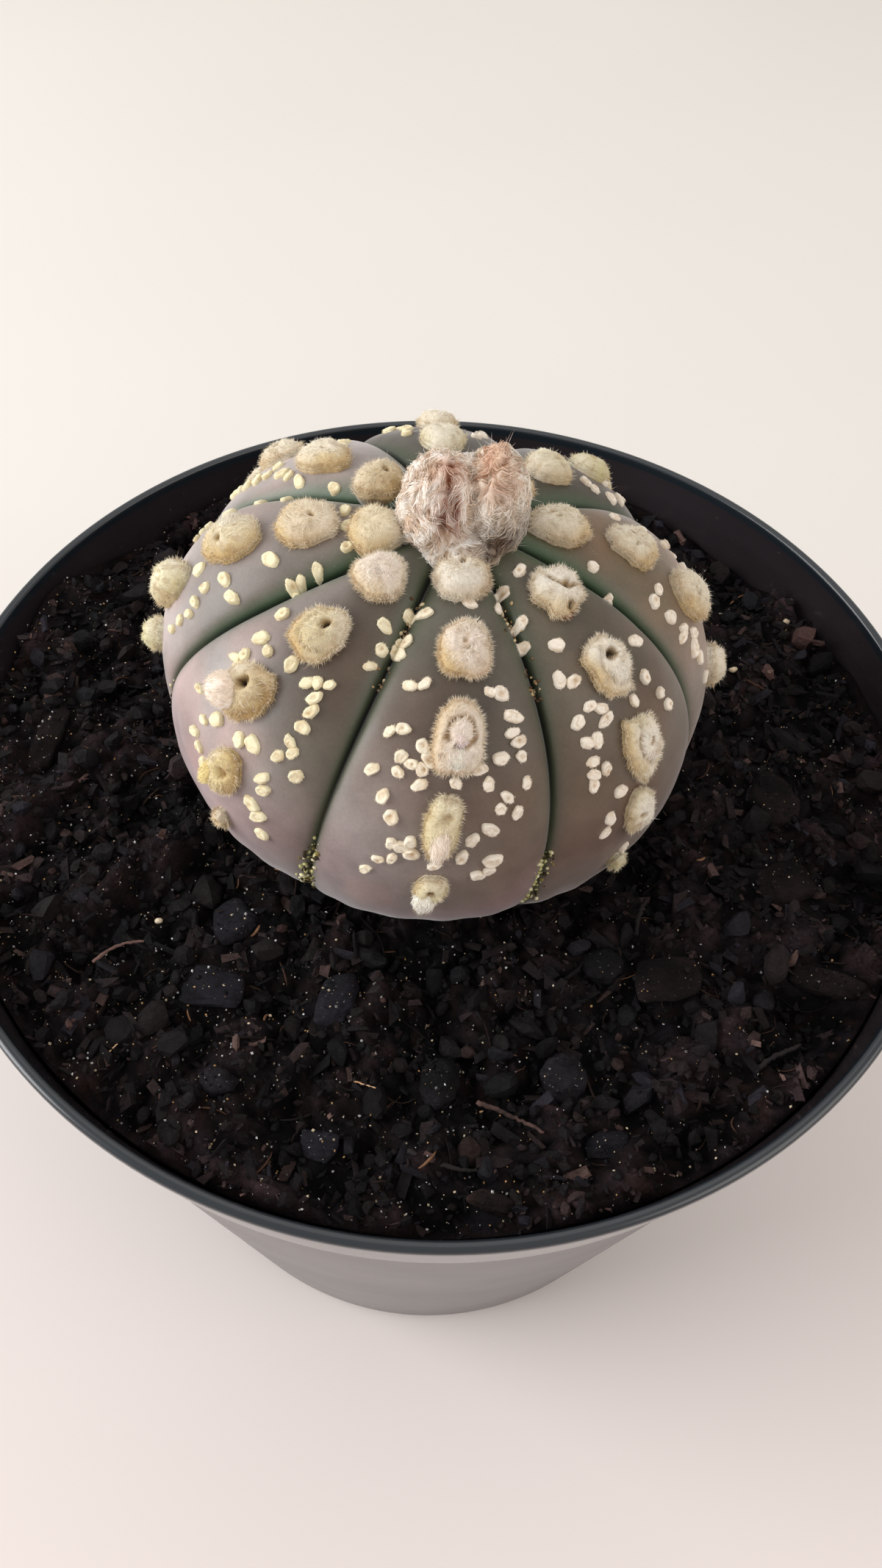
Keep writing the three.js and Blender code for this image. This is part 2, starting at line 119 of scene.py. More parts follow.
def cells(x, y, size, seed=0):
    """Distance to the nearest and second nearest scattered point, and the nearest one's own random number."""
    qx, qy = x / size, y / size
    ix, iy = np.floor(qx).astype(np.int64), np.floor(qy).astype(np.int64)
    best = np.full(x.shape, 9.0)
    second = np.full(x.shape, 9.0)
    own = np.zeros(x.shape)
    for dx in (-1, 0, 1):
        for dy in (-1, 0, 1):
            cx, cy = ix + dx, iy + dy
            px = cx + lattice(cx, cy, cx * 0, seed)
            py = cy + lattice(cx, cy, cx * 0 + 1, seed)
            d = np.hypot(qx - px, qy - py)
            r = lattice(cx, cy, cx * 0 + 2, seed)
            nearer = d < best
            second = np.where(nearer, best, np.minimum(second, d))
            own = np.where(nearer, r, own)
            best = np.where(nearer, d, best)
    return best * size, second * size, own


def locks(x, y, size, seed=0):
    """The nearest of a set of scattered places, and its own random number."""
    ix, iy = np.floor(x / size).astype(np.int64), np.floor(y / size).astype(np.int64)
    best = np.full(x.shape, 99.0)
    cx0, cy0, own = np.zeros(x.shape), np.zeros(x.shape), np.zeros(x.shape)
    for dx in (-1, 0, 1):
        for dy in (-1, 0, 1):
            cx, cy = ix + dx, iy + dy
            px = (cx + lattice(cx, cy, cx * 0, seed)) * size
            py = (cy + lattice(cx, cy, cx * 0 + 1, seed)) * size
            d = np.hypot(x - px, y - py)
            near = d < best
            cx0, cy0 = np.where(near, px, cx0), np.where(near, py, cy0)
            own = np.where(near, lattice(cx, cy, cx * 0 + 2, seed), own)
            best = np.where(near, d, best)
    return cx0, cy0, own


# ------------------------------------------------------------------ meshes
class Soup:
    """Gathers vertices, faces and a colour for each vertex, then makes one object of them."""

    def __init__(self):
        self.v, self.c, self.f3, self.f4, self.n = [], [], [], [], 0

    def add(self, verts, faces, colour):
        verts = np.asarray(verts, float).reshape(-1, 3)
        faces = np.asarray(faces, np.int64)
        colour = np.broadcast_to(np.asarray(colour, float), (len(verts), 3))
        (self.f3 if faces.shape[1] == 3 else self.f4).append(faces + self.n)
        self.v.append(verts)
        self.c.append(colour)
        self.n += len(verts)

    def also(self, faces, first):
        """More faces on vertices that are there already."""
        faces = np.asarray(faces, np.int64) + first
        (self.f3 if faces.shape[1] == 3 else self.f4).append(faces)

    def triangles(self):
        return sum(map(len, self.f3)) + 2 * sum(map(len, self.f4))

    def make(self, name, material, slot, shaded=True, replaces=()):
        v = np.concatenate(self.v) * MM
        mesh = bpy.data.meshes.new(name)
        loops, starts, at = [], [], 0
        for group, k in ((self.f3, 3), (self.f4, 4)):
            if group:
                f = np.concatenate(group)
                loops.append(f.ravel())
                starts.append(at + k * np.arange(len(f)))
                at += f.size
        loops, starts = np.concatenate(loops), np.concatenate(starts)
        mesh.vertices.add(len(v))
        mesh.vertices.foreach_set("co", v.astype(np.float32).ravel())
        mesh.loops.add(len(loops))
        mesh.loops.foreach_set("vertex_index", loops.astype(np.int32))
        mesh.polygons.add(len(starts))
        mesh.polygons.foreach_set("loop_start", starts.astype(np.int32))
        mesh.polygons.foreach_set("use_smooth", np.full(len(starts), shaded))
        mesh.update(calc_edges=True)
        c = np.ones((len(v), 4), np.float32)
        c[:, :3] = np.clip(np.concatenate(self.c), 0, 1)
        mesh.attributes.new("tint", "FLOAT_COLOR", "POINT").data.foreach_set("color", c.ravel())
        mesh.materials.append(material)
        obj = bpy.data.objects.new(name, mesh)
        bpy.context.scene.collection.objects.link(obj)
        bpy.context.view_layer.update()
        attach(obj, "root")
        if replaces:
            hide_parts(*replaces)
        return obj


def grid_faces(rows, cols, around=True):
    """Quads of a grid of points, row after row, with columns running round and normals out when rows run down and columns run anticlockwise."""
    i, j = np.meshgrid(np.arange(rows - 1), np.arange(cols if around else cols - 1), indexing="ij")
    i, j = i.ravel(), j.ravel()
    k = (j + 1) % cols
    return np.stack([i * cols + j, (i + 1) * cols + j, (i + 1) * cols + k, i * cols + k], 1)


def fan_faces(centre, first, cols, up=True):
    j = np.arange(cols)
    k = (j + 1) % cols
    a, b = (first + j, first + k) if up else (first + k, first + j)
    return np.stack([np.full(cols, centre), a, b], 1)


_balls = {}


def ball(level):
    """Vertices and triangles of an icosphere."""
    if level not in _balls:
        bm = bmesh.new()
        bmesh.ops.create_icosphere(bm, subdivisions=level, radius=1)
        v = np.array([x.co for x in bm.verts])
        f = np.array([[x.index for x in y.verts] for y in bm.faces])
        bm.free()
        _balls[level] = (unit(v), f)
    return _balls[level]


def spin(n, r):
    """n random rotations."""
    q = unit(r.normal(size=(n, 4)))
    w, x, y, z = q.T
    return np.stack(
        [
            np.stack([1 - 2 * (y * y + z * z), 2 * (x * y - z * w), 2 * (x * z + y * w)], -1),
            np.stack([2 * (x * y + z * w), 1 - 2 * (x * x + z * z), 2 * (y * z - x * w)], -1),
            np.stack([2 * (x * z - y * w), 2 * (y * z + x * w), 1 - 2 * (x * x + y * y)], -1),
        ],
        1,
    )


def rock(dirs, r, planes=14, sharp=14, spread=0.28):
    """How far a rounded, faceted lump reaches in each direction."""
    n = unit(r.normal(size=(planes, 3)))
    d = 1 - spread + 2 * spread * r.random(planes)
    box = unit(r.normal(size=(3, 3)))
    box[1] = unit(np.cross(box[0], box[1]))
    box[2] = np.cross(box[0], box[1])
    n = np.concatenate([n, box, -box])
    d = np.concatenate([d, np.full(6, 1.05)])
    s = np.maximum(dirs @ n.T, 0.02) / d
    return np.minimum((s**sharp).sum(1) ** (-1.0 / sharp), 1.5)


def frames(d):
    """Two directions square to each row of d."""
    ref = np.where(np.abs(d[:, 2:3]) < 0.85, [[0.0, 0.0, 1.0]], [[1.0, 0.0, 0.0]])
    a = unit(np.cross(d, ref))
    return a, np.cross(d, a)


def hairs(soup, root, way, length, width, low, tip, bend=None, segs=1, curl=None):
    """Closed three-sided hairs. way is where each sets out, bend where it ends up leaning, low and tip its colours."""
    n = len(root)
    if not n:
        return
    way = unit(way)
    length = np.broadcast_to(length, n)[:, None]
    width = np.broadcast_to(width, n)[:, None]
    low, tip = np.broadcast_to(low, (n, 3)), np.broadcast_to(tip, (n, 3))
    a, b = frames(way)
    turn = rng.random(n)[:, None] * 2 * np.pi
    a, b = a * np.cos(turn) + b * np.sin(turn), b * np.cos(turn) - a * np.sin(turn)
    ring = [np.cos(2 * np.pi * k / 3) * a + np.sin(2 * np.pi * k / 3) * b for k in range(3)]
    pts, cols = [], []
    for s in range(segs):
        t = s / segs
        mid = root + way * length * t
        if bend is not None:
            mid = mid + bend * length * t * t
        if curl is not None:
            mid = mid + (a * np.sin(curl[:, :1] + 7 * t) + b * np.cos(curl[:, 1:] + 6 * t)) * length * 0.09 * t
        for q in ring:
            pts.append(mid + q * width / 2 * (1 - 0.55 * t))
            cols.append(low * (1 - t) + tip * t)
    end = root + way * length
    if bend is not None:
        end = end + bend * length
    pts.append(end)
    cols.append(tip)
    soup.add(np.stack(pts, 1).reshape(-1, 3), strand_faces(segs, n), np.stack(cols, 1).reshape(-1, 3))


def strand_faces(segs, n):
    """Triangles of n closed three-sided strands, each with three points for every segment and one at its tip."""
    m = 3 * segs + 1
    f = [[0, 2, 1]]
    for s in range(segs - 1):
        o = 3 * s
        for k in range(3):
            q = (k + 1) % 3
            f += [[o + k, o + q, o + 3 + q], [o + k, o + 3 + q, o + 3 + k]]
    o = 3 * (segs - 1)
    f += [[o + k, o + (k + 1) % 3, m - 1] for k in range(3)]
    return (np.array(f)[None] + (np.arange(n) * m)[:, None, None]).reshape(-1, 3)


def strands(soup, lines, width, low, tip):
    """Closed three-sided strands along lines, an array of n lines of k points, thinner towards the tip."""
    n, k, _ = lines.shape
    d = unit(np.gradient(lines, axis=1))
    a = unit(np.cross(d, unit(rng.normal(size=(n, 1, 3)))))
    b = np.cross(d, a)
    pts, cols = [], []
    for i in range(k - 1):
        t = i / (k - 1)
        for q in range(3):
            w = 2 * np.pi * q / 3
            pts.append(lines[:, i] + (math.cos(w) * a[:, i] + math.sin(w) * b[:, i]) * width[:, None] / 2 * (1 - 0.45 * t))
            cols.append(low * (1 - t) + tip * t)
    pts.append(lines[:, -1])
    cols.append(tip)
    soup.add(np.stack(pts, 1).reshape(-1, 3), strand_faces(k - 1, n), np.stack(cols, 1).reshape(-1, 3))


# ------------------------------------------------------------------ materials
class Nodes:
    """A small helper round one material's nodes."""

    def __init__(self, name, rough=0.6, **sockets):
        self.m = bpy.data.materials.new(name)
        self.m.use_nodes = True
        self.t = self.m.node_tree
        self.t.nodes.clear()
        self.out = self.t.nodes.new("ShaderNodeOutputMaterial")
        self.b = self.t.nodes.new("ShaderNodeBsdfPrincipled")
        self.t.links.new(self.b.outputs[0], self.out.inputs["Surface"])
        self.b.inputs["Roughness"].default_value = rough
        for k, v in sockets.items():
            self.b.inputs[k.replace("_", " ")].default_value = v
        self.place = self.t.nodes.new("ShaderNodeTexCoord").outputs["Object"]

    def put(self, socket, value):
        if isinstance(value, bpy.types.NodeSocket):
            self.t.links.new(value, socket)
        else:
            socket.default_value = value

    def noise(self, scale, detail=3, rough=0.5, warp=0.0, at=None, stretch=None):
        n = self.t.nodes.new("ShaderNodeTexNoise")
        n.inputs["Scale"].default_value = scale
        n.inputs["Detail"].default_value = detail
        n.inputs["Roughness"].default_value = rough
        n.inputs["Distortion"].default_value = warp
        where = at or self.place
        if stretch:
            mp = self.t.nodes.new("ShaderNodeMapping")
            mp.inputs["Scale"].default_value = stretch
            self.t.links.new(where, mp.inputs["Vector"])
            where = mp.outputs[0]
        self.t.links.new(where, n.inputs["Vector"])
        return n.outputs["Fac"]

    def cells(self, scale, feature="F1", random=1.0):
        n = self.t.nodes.new("ShaderNodeTexVoronoi")
        n.feature = feature
        n.inputs["Scale"].default_value = scale
        n.inputs["Randomness"].default_value = random
        self.t.links.new(self.place, n.inputs["Vector"])
        return n

    def span(self, value, a, b, lo=0.0, hi=1.0):
        n = self.t.nodes.new("ShaderNodeMapRange")
        self.put(n.inputs["Value"], value)
        n.inputs["From Min"].default_value = a
        n.inputs["From Max"].default_value = b
        n.inputs["To Min"].default_value = lo
        n.inputs["To Max"].default_value = hi
        return n.outputs[0]

    def maths(self, how, a, b=0.0):
        n = self.t.nodes.new("ShaderNodeMath")
        n.operation = how
        self.put(n.inputs[0], a)
        self.put(n.inputs[1], b)
        return n.outputs[0]

    def mix(self, fac, a, b, how="MIX"):
        n = self.t.nodes.new("ShaderNodeMix")
        n.data_type = "RGBA"
        n.blend_type = how
        self.put(n.inputs[0], fac)
        for socket, value in ((n.inputs[6], a), (n.inputs[7], b)):
            if not isinstance(value, bpy.types.NodeSocket) and len(value) == 3:
                value = (*value, 1.0)
            self.put(socket, value)
        return n.outputs[2]

    def tint(self):
        n = self.t.nodes.new("ShaderNodeAttribute")
        n.attribute_name = "tint"
        return n.outputs["Color"]

    def shade(self, colour, value):
        """colour times value, a grey."""
        n = self.t.nodes.new("ShaderNodeVectorMath")
        n.operation = "SCALE"
        self.put(n.inputs[0], colour)
        self.put(n.inputs["Scale"], value)
        return n.outputs[0]

    def bump(self, height, distance, strength=1.0, after=None):
        n = self.t.nodes.new("ShaderNodeBump")
        n.inputs["Distance"].default_value = distance
        n.inputs["Strength"].default_value = strength
        self.put(n.inputs["Height"], height)
        if after is not None:
            self.t.links.new(after, n.inputs["Normal"])
        return n.outputs[0]

    def done(self, colour=None, rough=None, normal=None):
        if colour is not None:
            self.put(self.b.inputs["Base Color"], colour if isinstance(colour, bpy.types.NodeSocket) else (*colour, 1.0))
        if rough is not None:
            self.put(self.b.inputs["Roughness"], rough)
        if normal is not None:
            self.t.links.new(normal, self.b.inputs["Normal"])
        return self.m


def skin_material():
    n = Nodes("cactus_skin", 0.45, Specular_IOR_Level=0.5, Sheen_Weight=0.5, Sheen_Roughness=0.35)
    n.b.inputs["Sheen Tint"].default_value = (0.95, 0.9, 0.93, 1)
    fine = n.noise(3200, 3, 0.6)
    mid = n.noise(420, 4, 0.55)
    col = n.shade(n.tint(), n.span(fine, 0.3, 0.7, 0.93, 1.07))
    col = n.shade(col, n.span(mid, 0.3, 0.7, 0.93, 1.07))
    specks = n.cells(900)
    dot = n.span(specks.outputs["Distance"], 0.05, 0.10, 1.0, 0.0)
    few = n.span(n.noise(260, 2), 0.56, 0.64, 0.0, 0.22)
    col = n.mix(n.maths("MULTIPLY", dot, few), col, tuple(rgb(190, 182, 170)))
    bump = n.bump(fine, 0.00003, 0.35)
    bump = n.bump(mid, 0.00012, 0.35, bump)
    return n.done(col, n.span(mid, 0.3, 0.7, 0.38, 0.50), bump)


def wool_material(name, fibre=4200, deep=0.00006, sheen=0.35, cast=(1.0, 0.965, 0.915)):
    n = Nodes(name, 0.95, Specular_IOR_Level=0.1, Sheen_Weight=sheen, Sheen_Roughness=0.4)
    a = n.noise(fibre, 4, 0.65, 0.8)
    col = n.shade(n.tint(), n.span(a, 0.32, 0.68, 0.90, 1.06))
    col = n.mix(1.0, col, cast, "MULTIPLY")
    return n.done(col, None, n.bump(a, deep, 0.5))


def soil_material(name, spec):
    n = Nodes(name, 0.85, Specular_IOR_Level=spec)
    a = n.noise(2600, 6, 0.75)
    b = n.noise(420, 3, 0.6)
    col = n.shade(n.tint(), n.span(a, 0.3, 0.7, 0.4, 1.5))
    col = n.mix(1.0, col, (1.0, 0.84, 0.87), "MULTIPLY")
    rough = n.span(b, 0.35, 0.65, 0.28, 0.9)
    return n.done(col, rough, n.bump(a, 0.00035, 1.0))


def stone_material(name, colour, second, rough=(0.55, 0.85), grain=900, deep=0.00018, fleck=0.0, layered=None, spec=0.4):
    n = Nodes(name, 0.7, Specular_IOR_Level=spec)
    a = n.noise(grain, 5, 0.65, 0.3, stretch=layered)
    b = n.noise(160, 4, 0.6)
    col = n.mix(n.span(b, 0.35, 0.65), tuple(colour), tuple(second))
    col = n.shade(col, n.span(a, 0.3, 0.7, 0.7, 1.3))
    if fleck:
        v = n.cells(1400)
        dot = n.span(v.outputs["Distance"], 0.08, 0.16, fleck, 0.0)
        col = n.mix(dot, col, tuple(rgb(150, 150, 155)))
    return n.done(col, n.span(a, 0.3, 0.7, *rough), n.bump(a, deep, 0.8))


def pot_material():
    n = Nodes("pot_plastic", 0.22, Specular_IOR_Level=0.5, Coat_Weight=0.50, Coat_Roughness=0.2, Coat_IOR=1.5)
    big = n.noise(38, 3, 0.5)
    # Near black with a pinkish cast; the cast is a painted reflection of the pale pink floor.
    col = n.mix(n.span(big, 0.3, 0.7), tuple(rgb(40, 35, 38)), tuple(rgb(47, 42, 45)))
    dust = n.span(n.noise(900, 6, 0.75), 0.63, 0.74, 0.0, 0.30)
    near = n.span(n.noise(60, 2, 0.5), 0.42, 0.62, 0.0, 1.0)
    dust = n.maths("MULTIPLY", dust, near)
    col = n.mix(dust, col, tuple(rgb(120, 110, 100)))
    # The tapered wall below the collar has a duller finish.
    split = n.t.nodes.new("ShaderNodeSeparateXYZ")
    n.t.links.new(n.place, split.inputs[0])
    wall = n.span(split.outputs["Z"], 0.0882, 0.0878, 0.0, 0.26)
    # The top of the lip is painted a bluer slate, a painted reflection of the room.
    rim = n.span(split.outputs["Z"], 0.0994, 0.0996, 0.0, 1.0)
    col = n.mix(rim, col, tuple(rgb(30, 37, 43)))
    rough = n.maths("ADD", n.span(big, 0.3, 0.7, 0.16, 0.26), n.maths("MULTIPLY", dust, 1.2))
    rough = n.maths("ADD", rough, wall)
    return n.done(col, rough, n.bump(n.noise(260, 2, 0.5), 0.00004, 0.25))


def floor_material():
    n = Nodes("pale_floor", 0.7, Specular_IOR_Level=0.2)
    a = n.noise(3.0, 3, 0.5)
    split = n.t.nodes.new("ShaderNodeSeparateXYZ")
    n.t.links.new(n.place, split.inputs[0])
    # Painted fall-off of the light: the floor is a little darker and pinker towards the front.
    back = n.span(split.outputs["Y"], -0.15, 0.15)
    near = n.mix(n.span(a, 0.3, 0.7), tuple(rgb(235, 222, 220)), tuple(rgb(240, 228, 225)))
    far = n.mix(n.span(a, 0.3, 0.7), tuple(rgb(235, 230, 224)), tuple(rgb(240, 236, 230)))
    return n.done(n.mix(back, near, far))


# ------------------------------------------------------------------ the plant's own surface
BODY_R, BODY_UP, BODY_DOWN, SQUARE = 30.1, 22.0, 18.5, 2.36
C0 = np.array([-1.1, 1.0, H + 11.8])
AXIS = unit([0.081, -0.053, 1.0])
AX = unit(np.cross([0.0, 1.0, 0.0], AXIS))
AY = np.cross(AXIS, AX)
GROOVES = np.array([-18.0, 32, 74, 118, 161, 202.5, 248.8, 296.0])
EDGES = np.append(GROOVES, GROOVES[0] + 360)
DRIFT = np.array([-0.07, 0, 0, 0, 0, -0.18, -0.05, -0.075, -0.07])
LATS = np.array([0, 6, 18, 40, 70, 95, 120, 150, 180], float)
DEPTHS = np.array([0.0, 0.5, 1.9, 2.4, 1.9, 1.15, 0.7, 0.5, 0.2])


def meridian(lat):
    s, c = np.abs(np.sin(np.radians(lat))), np.cos(np.radians(lat))
    return BODY_R * s ** (2 / SQUARE), np.where(c >= 0, BODY_UP, -BODY_DOWN) * np.abs(c) ** (2 / SQUARE)


def ribs(az):
    t = (az - GROOVES[0]) % 360 + GROOVES[0]
    i = np.clip(np.searchsorted(EDGES, t, side="right") - 1, 0, 7)
    width = EDGES[i + 1] - EDGES[i]
    return i, (t - EDGES[i]) / width, width


def drift(az):
    i, u, _ = ribs(az)
    return DRIFT[i] * (1 - u) + DRIFT[i + 1] * u


def groove_dist(lat, az):
    """Distance along the skin to the nearest groove in mm, and half the rib's width there."""
    i, u, width = ribs(az)
    r, _ = meridian(lat)
    half = r * np.radians(width) / 2
    return half * (1 - np.abs(2 * u - 1)), half, u, i


def skin(lat, az, off=0.0, ribbed=True):
    """A point of the plant at latitude lat from the crown, az the rib's own azimuth, off mm out."""
    lat, az, off = np.broadcast_arrays(np.asarray(lat, float), np.asarray(az, float), np.asarray(off, float))
    r, h = meridian(lat)
    r1, h1 = meridian(np.maximum(lat - 0.1, 0.01))
    r2, h2 = meridian(np.minimum(lat + 0.1, 179.9))
    ln = np.hypot(r2 - r1, h2 - h1)
    nr, nh = -(h2 - h1) / ln, (r2 - r1) / ln
    a = np.radians(az + drift(az) * (np.clip(lat, 20, 110) - 55))
    k = off - 2.3 * np.clip(np.sin(a), 0, 1) ** 1.3 * np.sin(np.radians(lat))
    if ribbed:
        x, half, u, i = groove_dist(lat, az)
        d = x / np.maximum(half, 1e-6)
        deep = np.interp(lat, LATS, DEPTHS)
        k = k - 0.50 * deep * (1 - d) ** 2.9
        k = k - (0.16 * deep + np.minimum(deep * 0.22, 0.42)) * np.exp(-x / 0.7)
        k = k - 0.30 * np.minimum(deep, 1) * np.exp(-((x / 0.24) ** 2))
    return (
        C0
        + (h + nh * k)[..., None] * AXIS
        + ((r + nr * k) * np.cos(a))[..., None] * AX
        + ((r + nr * k) * np.sin(a))[..., None] * AY
    )


def to_rib(lat, az):
    return az - drift(np.asarray(az, float)) * (np.clip(lat, 20, 110) - 55)


class Spot:
    """A local frame on the skin: s mm to the right seen from outside, t mm towards the crown, off mm out."""

    def __init__(self, lat, az):
        self.lat, self.az = float(lat), float(to_rib(lat, az))
        lo, hi = skin(lat - 0.5, self.az, 0, False), skin(lat + 0.5, self.az, 0, False)
        self.per = np.linalg.norm(hi - lo)
        self.rho = float(meridian(np.array(lat))[0])
        self.o = skin(lat, self.az, 0, False)
        self.up = unit(lo - hi)
        self.side = unit(skin(lat, self.az + 1, 0, False) - skin(lat, self.az - 1, 0, False))
        self.out = unit(np.cross(self.side, self.up))
        self.side = np.cross(self.up, self.out)

    def at(self, s, t, off=0.0, ribbed=False):
        lat = np.clip(self.lat - np.asarray(t, float) / self.per, 0.05, 175)
        return skin(lat, self.az + np.degrees(np.asarray(s, float) / self.rho), off, ribbed)

    def flat(self, s, t, off=0.0):
        """The same in the plane that touches the skin here."""
        s, t, off = np.broadcast_arrays(np.asarray(s, float), t, off)
        return self.o + s[..., None] * self.side + t[..., None] * self.up + off[..., None] * self.out

    def way(self, s, t, out):
        s, t, out = np.broadcast_arrays(np.asarray(s, float), t, out)
        return s[..., None] * self.side + t[..., None] * self.up + out[..., None] * self.out


def skin_piece():
    lat = np.concatenate([np.linspace(0.6, 10, 10)[:-1], np.arange(10, 112, 1.1), np.arange(112, 138, 2.2)])
    t = np.linspace(0, 1, 43)[:-1]
    u = np.where(t < 0.5, 0.5 * (2 * t) ** 1.55, 1 - 0.5 * (2 - 2 * t) ** 1.55)
    az = np.concatenate([EDGES[i] + (EDGES[i + 1] - EDGES[i]) * u for i in range(8)])
    n = len(az)
    L, A = np.meshgrid(lat, az, indexing="ij")
    L, A = L.ravel(), A.ravel()
    p = skin(L, A)
    x, half, uu, i = groove_dist(L, A)
    out = unit(p - (C0 - 2 * AXIS))
    calm = smooth(x, 0.3, 2.5)
    p = p + out * (0.10 * fbm(p, 7.0, 2, 3) * calm + 0.035 * noise(p, 1.9, 8) * calm)[:, None]
    # Faint creases that run down the ribs near the foot, as the skin folds in there.
    fold = smooth(L, 78, 112) * calm
    p = p + out * (0.07 * fold * np.sin(uu * 34 + 3 * noise(p, 9, 5)))[:, None]
    # Colour: grey mauve, painted paler to the left where the light comes from, greener beside the grooves and at the
    # foot, near black in the crease, where painted shade darkens the groove's own green.
    turn = np.radians(A)
    front = smooth(-np.sin(turn), -0.2, 0.6)
    grey = blend(rgb(111, 101, 93), rgb(101, 94, 81), smooth(fbm(p, 11, 2, 21), -0.5, 0.5))
    # Paler low down: partly the skin's own paler foot, partly painted light where little light reaches.
    grey = blend(grey, rgb(141, 127, 123), 0.85 * smooth(L, 56, 88))
    # Painted light: the ribs turned to the left, towards the key lamp, are painted pale, a painted sheen.
    pale = blend(rgb(150, 141, 137), rgb(204, 192, 190), np.where(i == 4, smooth(L, 52, 76), np.where(i == 5, 0.5 + 0.5 * smooth(L, 50, 75), 0.6)))
    grey = blend(grey, pale, 0.95 * smooth(-np.cos(turn) + 0.25 * noise(p, 12, 91), 0.1, 0.92))
    grey = blend(grey, rgb(121, 102, 76), 0.85 * smooth(np.cos(turn), -0.1, 0.7))
    # Painted light: warm and paler low on the ribs turned right, where the fill lamp falls.
    grey = blend(grey, rgb(164, 138, 116), 0.72 * smooth(np.cos(turn), 0.62, 1.0) * smooth(L, 42, 68))
    # Painted shade: darker low on the right front rib, turned away from the light.
    grey = blend(grey, rgb(96, 77, 62), 0.8 * (i == 7) * smooth(L, 36, 60) * (1 - 0.5 * smooth(uu, 0.7, 0.95)))
    # Painted shadow: near black high on the back and right back ribs, in the crown's shade.
    grey = blend(grey, rgb(34, 32, 22), 0.90 * ((i == 1) | (i == 2)) * (1 - smooth(L, 60, 90)))
    # Painted shade: darker on the right-facing half of the left front rib, high up.
    grey = blend(grey, rgb(80, 72, 65), 0.45 * (i == 5) * smooth(uu, 0.3, 0.8) * (1 - smooth(L, 55, 80)))
    # Painted shade: darker high on the front ribs, most on their right-facing halves.
    grey = blend(grey, rgb(66, 57, 46), 0.88 * (1 - smooth(L, 36, 70)) * smooth(-np.sin(turn), -0.1, 0.8) * (0.5 + 0.5 * smooth(uu, 0.15, 0.5)))
    # The flank that faces left on each front rib is painted paler, as lit from the left, the one that faces right
    # painted darker, as in shade.
    grey = blend(grey, rgb(168, 156, 154), 0.6 * smooth(1 - uu, 0.42, 0.95) * front * (i != 7) * smooth(L, 38, 72))
    grey = blend(grey, rgb(94, 80, 66), 0.55 * smooth(uu, 0.5, 0.95) * front)
    grey = blend(grey, rgb(106, 107, 97), 0.4 * smooth(fbm(p, 13, 2, 44), 0.1, 0.7))
    grey = blend(grey, rgb(160, 126, 128), 0.55 * smooth(L, 60, 92) * smooth(noise(p, 13, 81), 0.0, 0.65) * np.where(i == 7, 0.3, 1.0))
    grey = blend(grey, grey * [1.10, 0.97, 0.93], smooth(noise(p, 6.5, 86), 0.0, 0.7))
    grey = grey * (1 + 0.12 * noise(p, 5.0, 83) + 0.08 * noise(p * [1, 1, 0.45], 2.0, 84) + 0.05 * noise(p, 0.9, 85))[:, None]
    wide = np.interp(L, [0, 22, 42, 60, 90, 120], [3.6, 2.6, 1.5, 1.0, 0.8, 0.8])
    wide = wide * (1 + 0.35 * noise(p, 9, 61))
    c = blend(grey, rgb(90, 86, 73), 0.65 * np.exp(-((x / (1.3 * wide)) ** 1.5)))
    side_g = 0.25 + 0.75 * smooth(np.cos(turn) ** 2, 0.25, 0.9)  # greener on the ribs seen from the side
    c = blend(c, blend(rgb(78, 82, 62), rgb(76, 102, 72), side_g), 0.75 * np.exp(-((x / (0.5 * wide)) ** 1.8)))
    deep = blend(blend(rgb(46, 54, 36), rgb(46, 78, 46), side_g), rgb(82, 86, 66), 0.7 * smooth(L, 50, 80))
    c = blend(c, deep, 0.9 * np.exp(-((x / (0.2 * wide + 0.22)) ** 1.8)))
    # Painted shade in the crease, over the groove's own dark green.
    crease = blend(rgb(18, 20, 13), rgb(62, 66, 46), smooth(L, 48, 78))
    c = blend(c, crease, np.exp(-((x / 0.28) ** 2)))
    c = blend(c, rgb(122, 128, 108), 0.8 * smooth(L, 98, 114))
    c = blend(c, rgb(128, 132, 110), 0.5 * smooth(L, 92, 106) * smooth(noise(p, 5, 77), -0.3, 0.6))
    s = Soup()
    s.add(p, grid_faces(len(lat), n), c)
    s.v.append(skin(np.array([0.01]), np.array([0.0])))
    s.c.append(rgb(88, 92, 80)[None])
    top = s.n
    s.n += 1
    s.also(fan_faces(top, 0, n), 0)
    # The root below: rings down the axis, knobbly.
    ring = np.arange(0, n, 3)
    m = len(ring)
    a = np.radians(az[ring] + drift(az[ring]) * 55)
    last = skin(np.full(m, lat[-1]), az[ring])
    rows, cols = [last], [np.tile(rgb(96, 92, 74), (m, 1))]
    for rr, hh in ((19.5, -15.4), (16.0, -17.6), (11.5, -19.6), (9.0, -21), (8.3, -24), (7.6, -28), (6.3, -32), (4.6, -37), (3.3, -40), (2.0, -43)):
        k = rr * (1 + 0.06 * np.sin(3 * a + hh) + 0.03 * np.sin(7 * a - hh))
        rows.append(C0 + hh * AXIS + (k * np.cos(a))[:, None] * AX + (k * np.sin(a))[:, None] * AY)
        cols.append(np.tile(blend(rgb(96, 92, 74), rgb(92, 70, 48), min(1.0, (-hh - 15) / 8)), (m, 1)))
    first = s.n
    s.add(np.concatenate(rows), grid_faces(len(rows), m), np.concatenate(cols))
    s.add((C0 - 45 * AXIS)[None], np.zeros((0, 3), int), rgb(92, 70, 48))
    s.also(fan_faces(s.n - 1, first + m * (len(rows) - 1), m, False), 0)
    return s


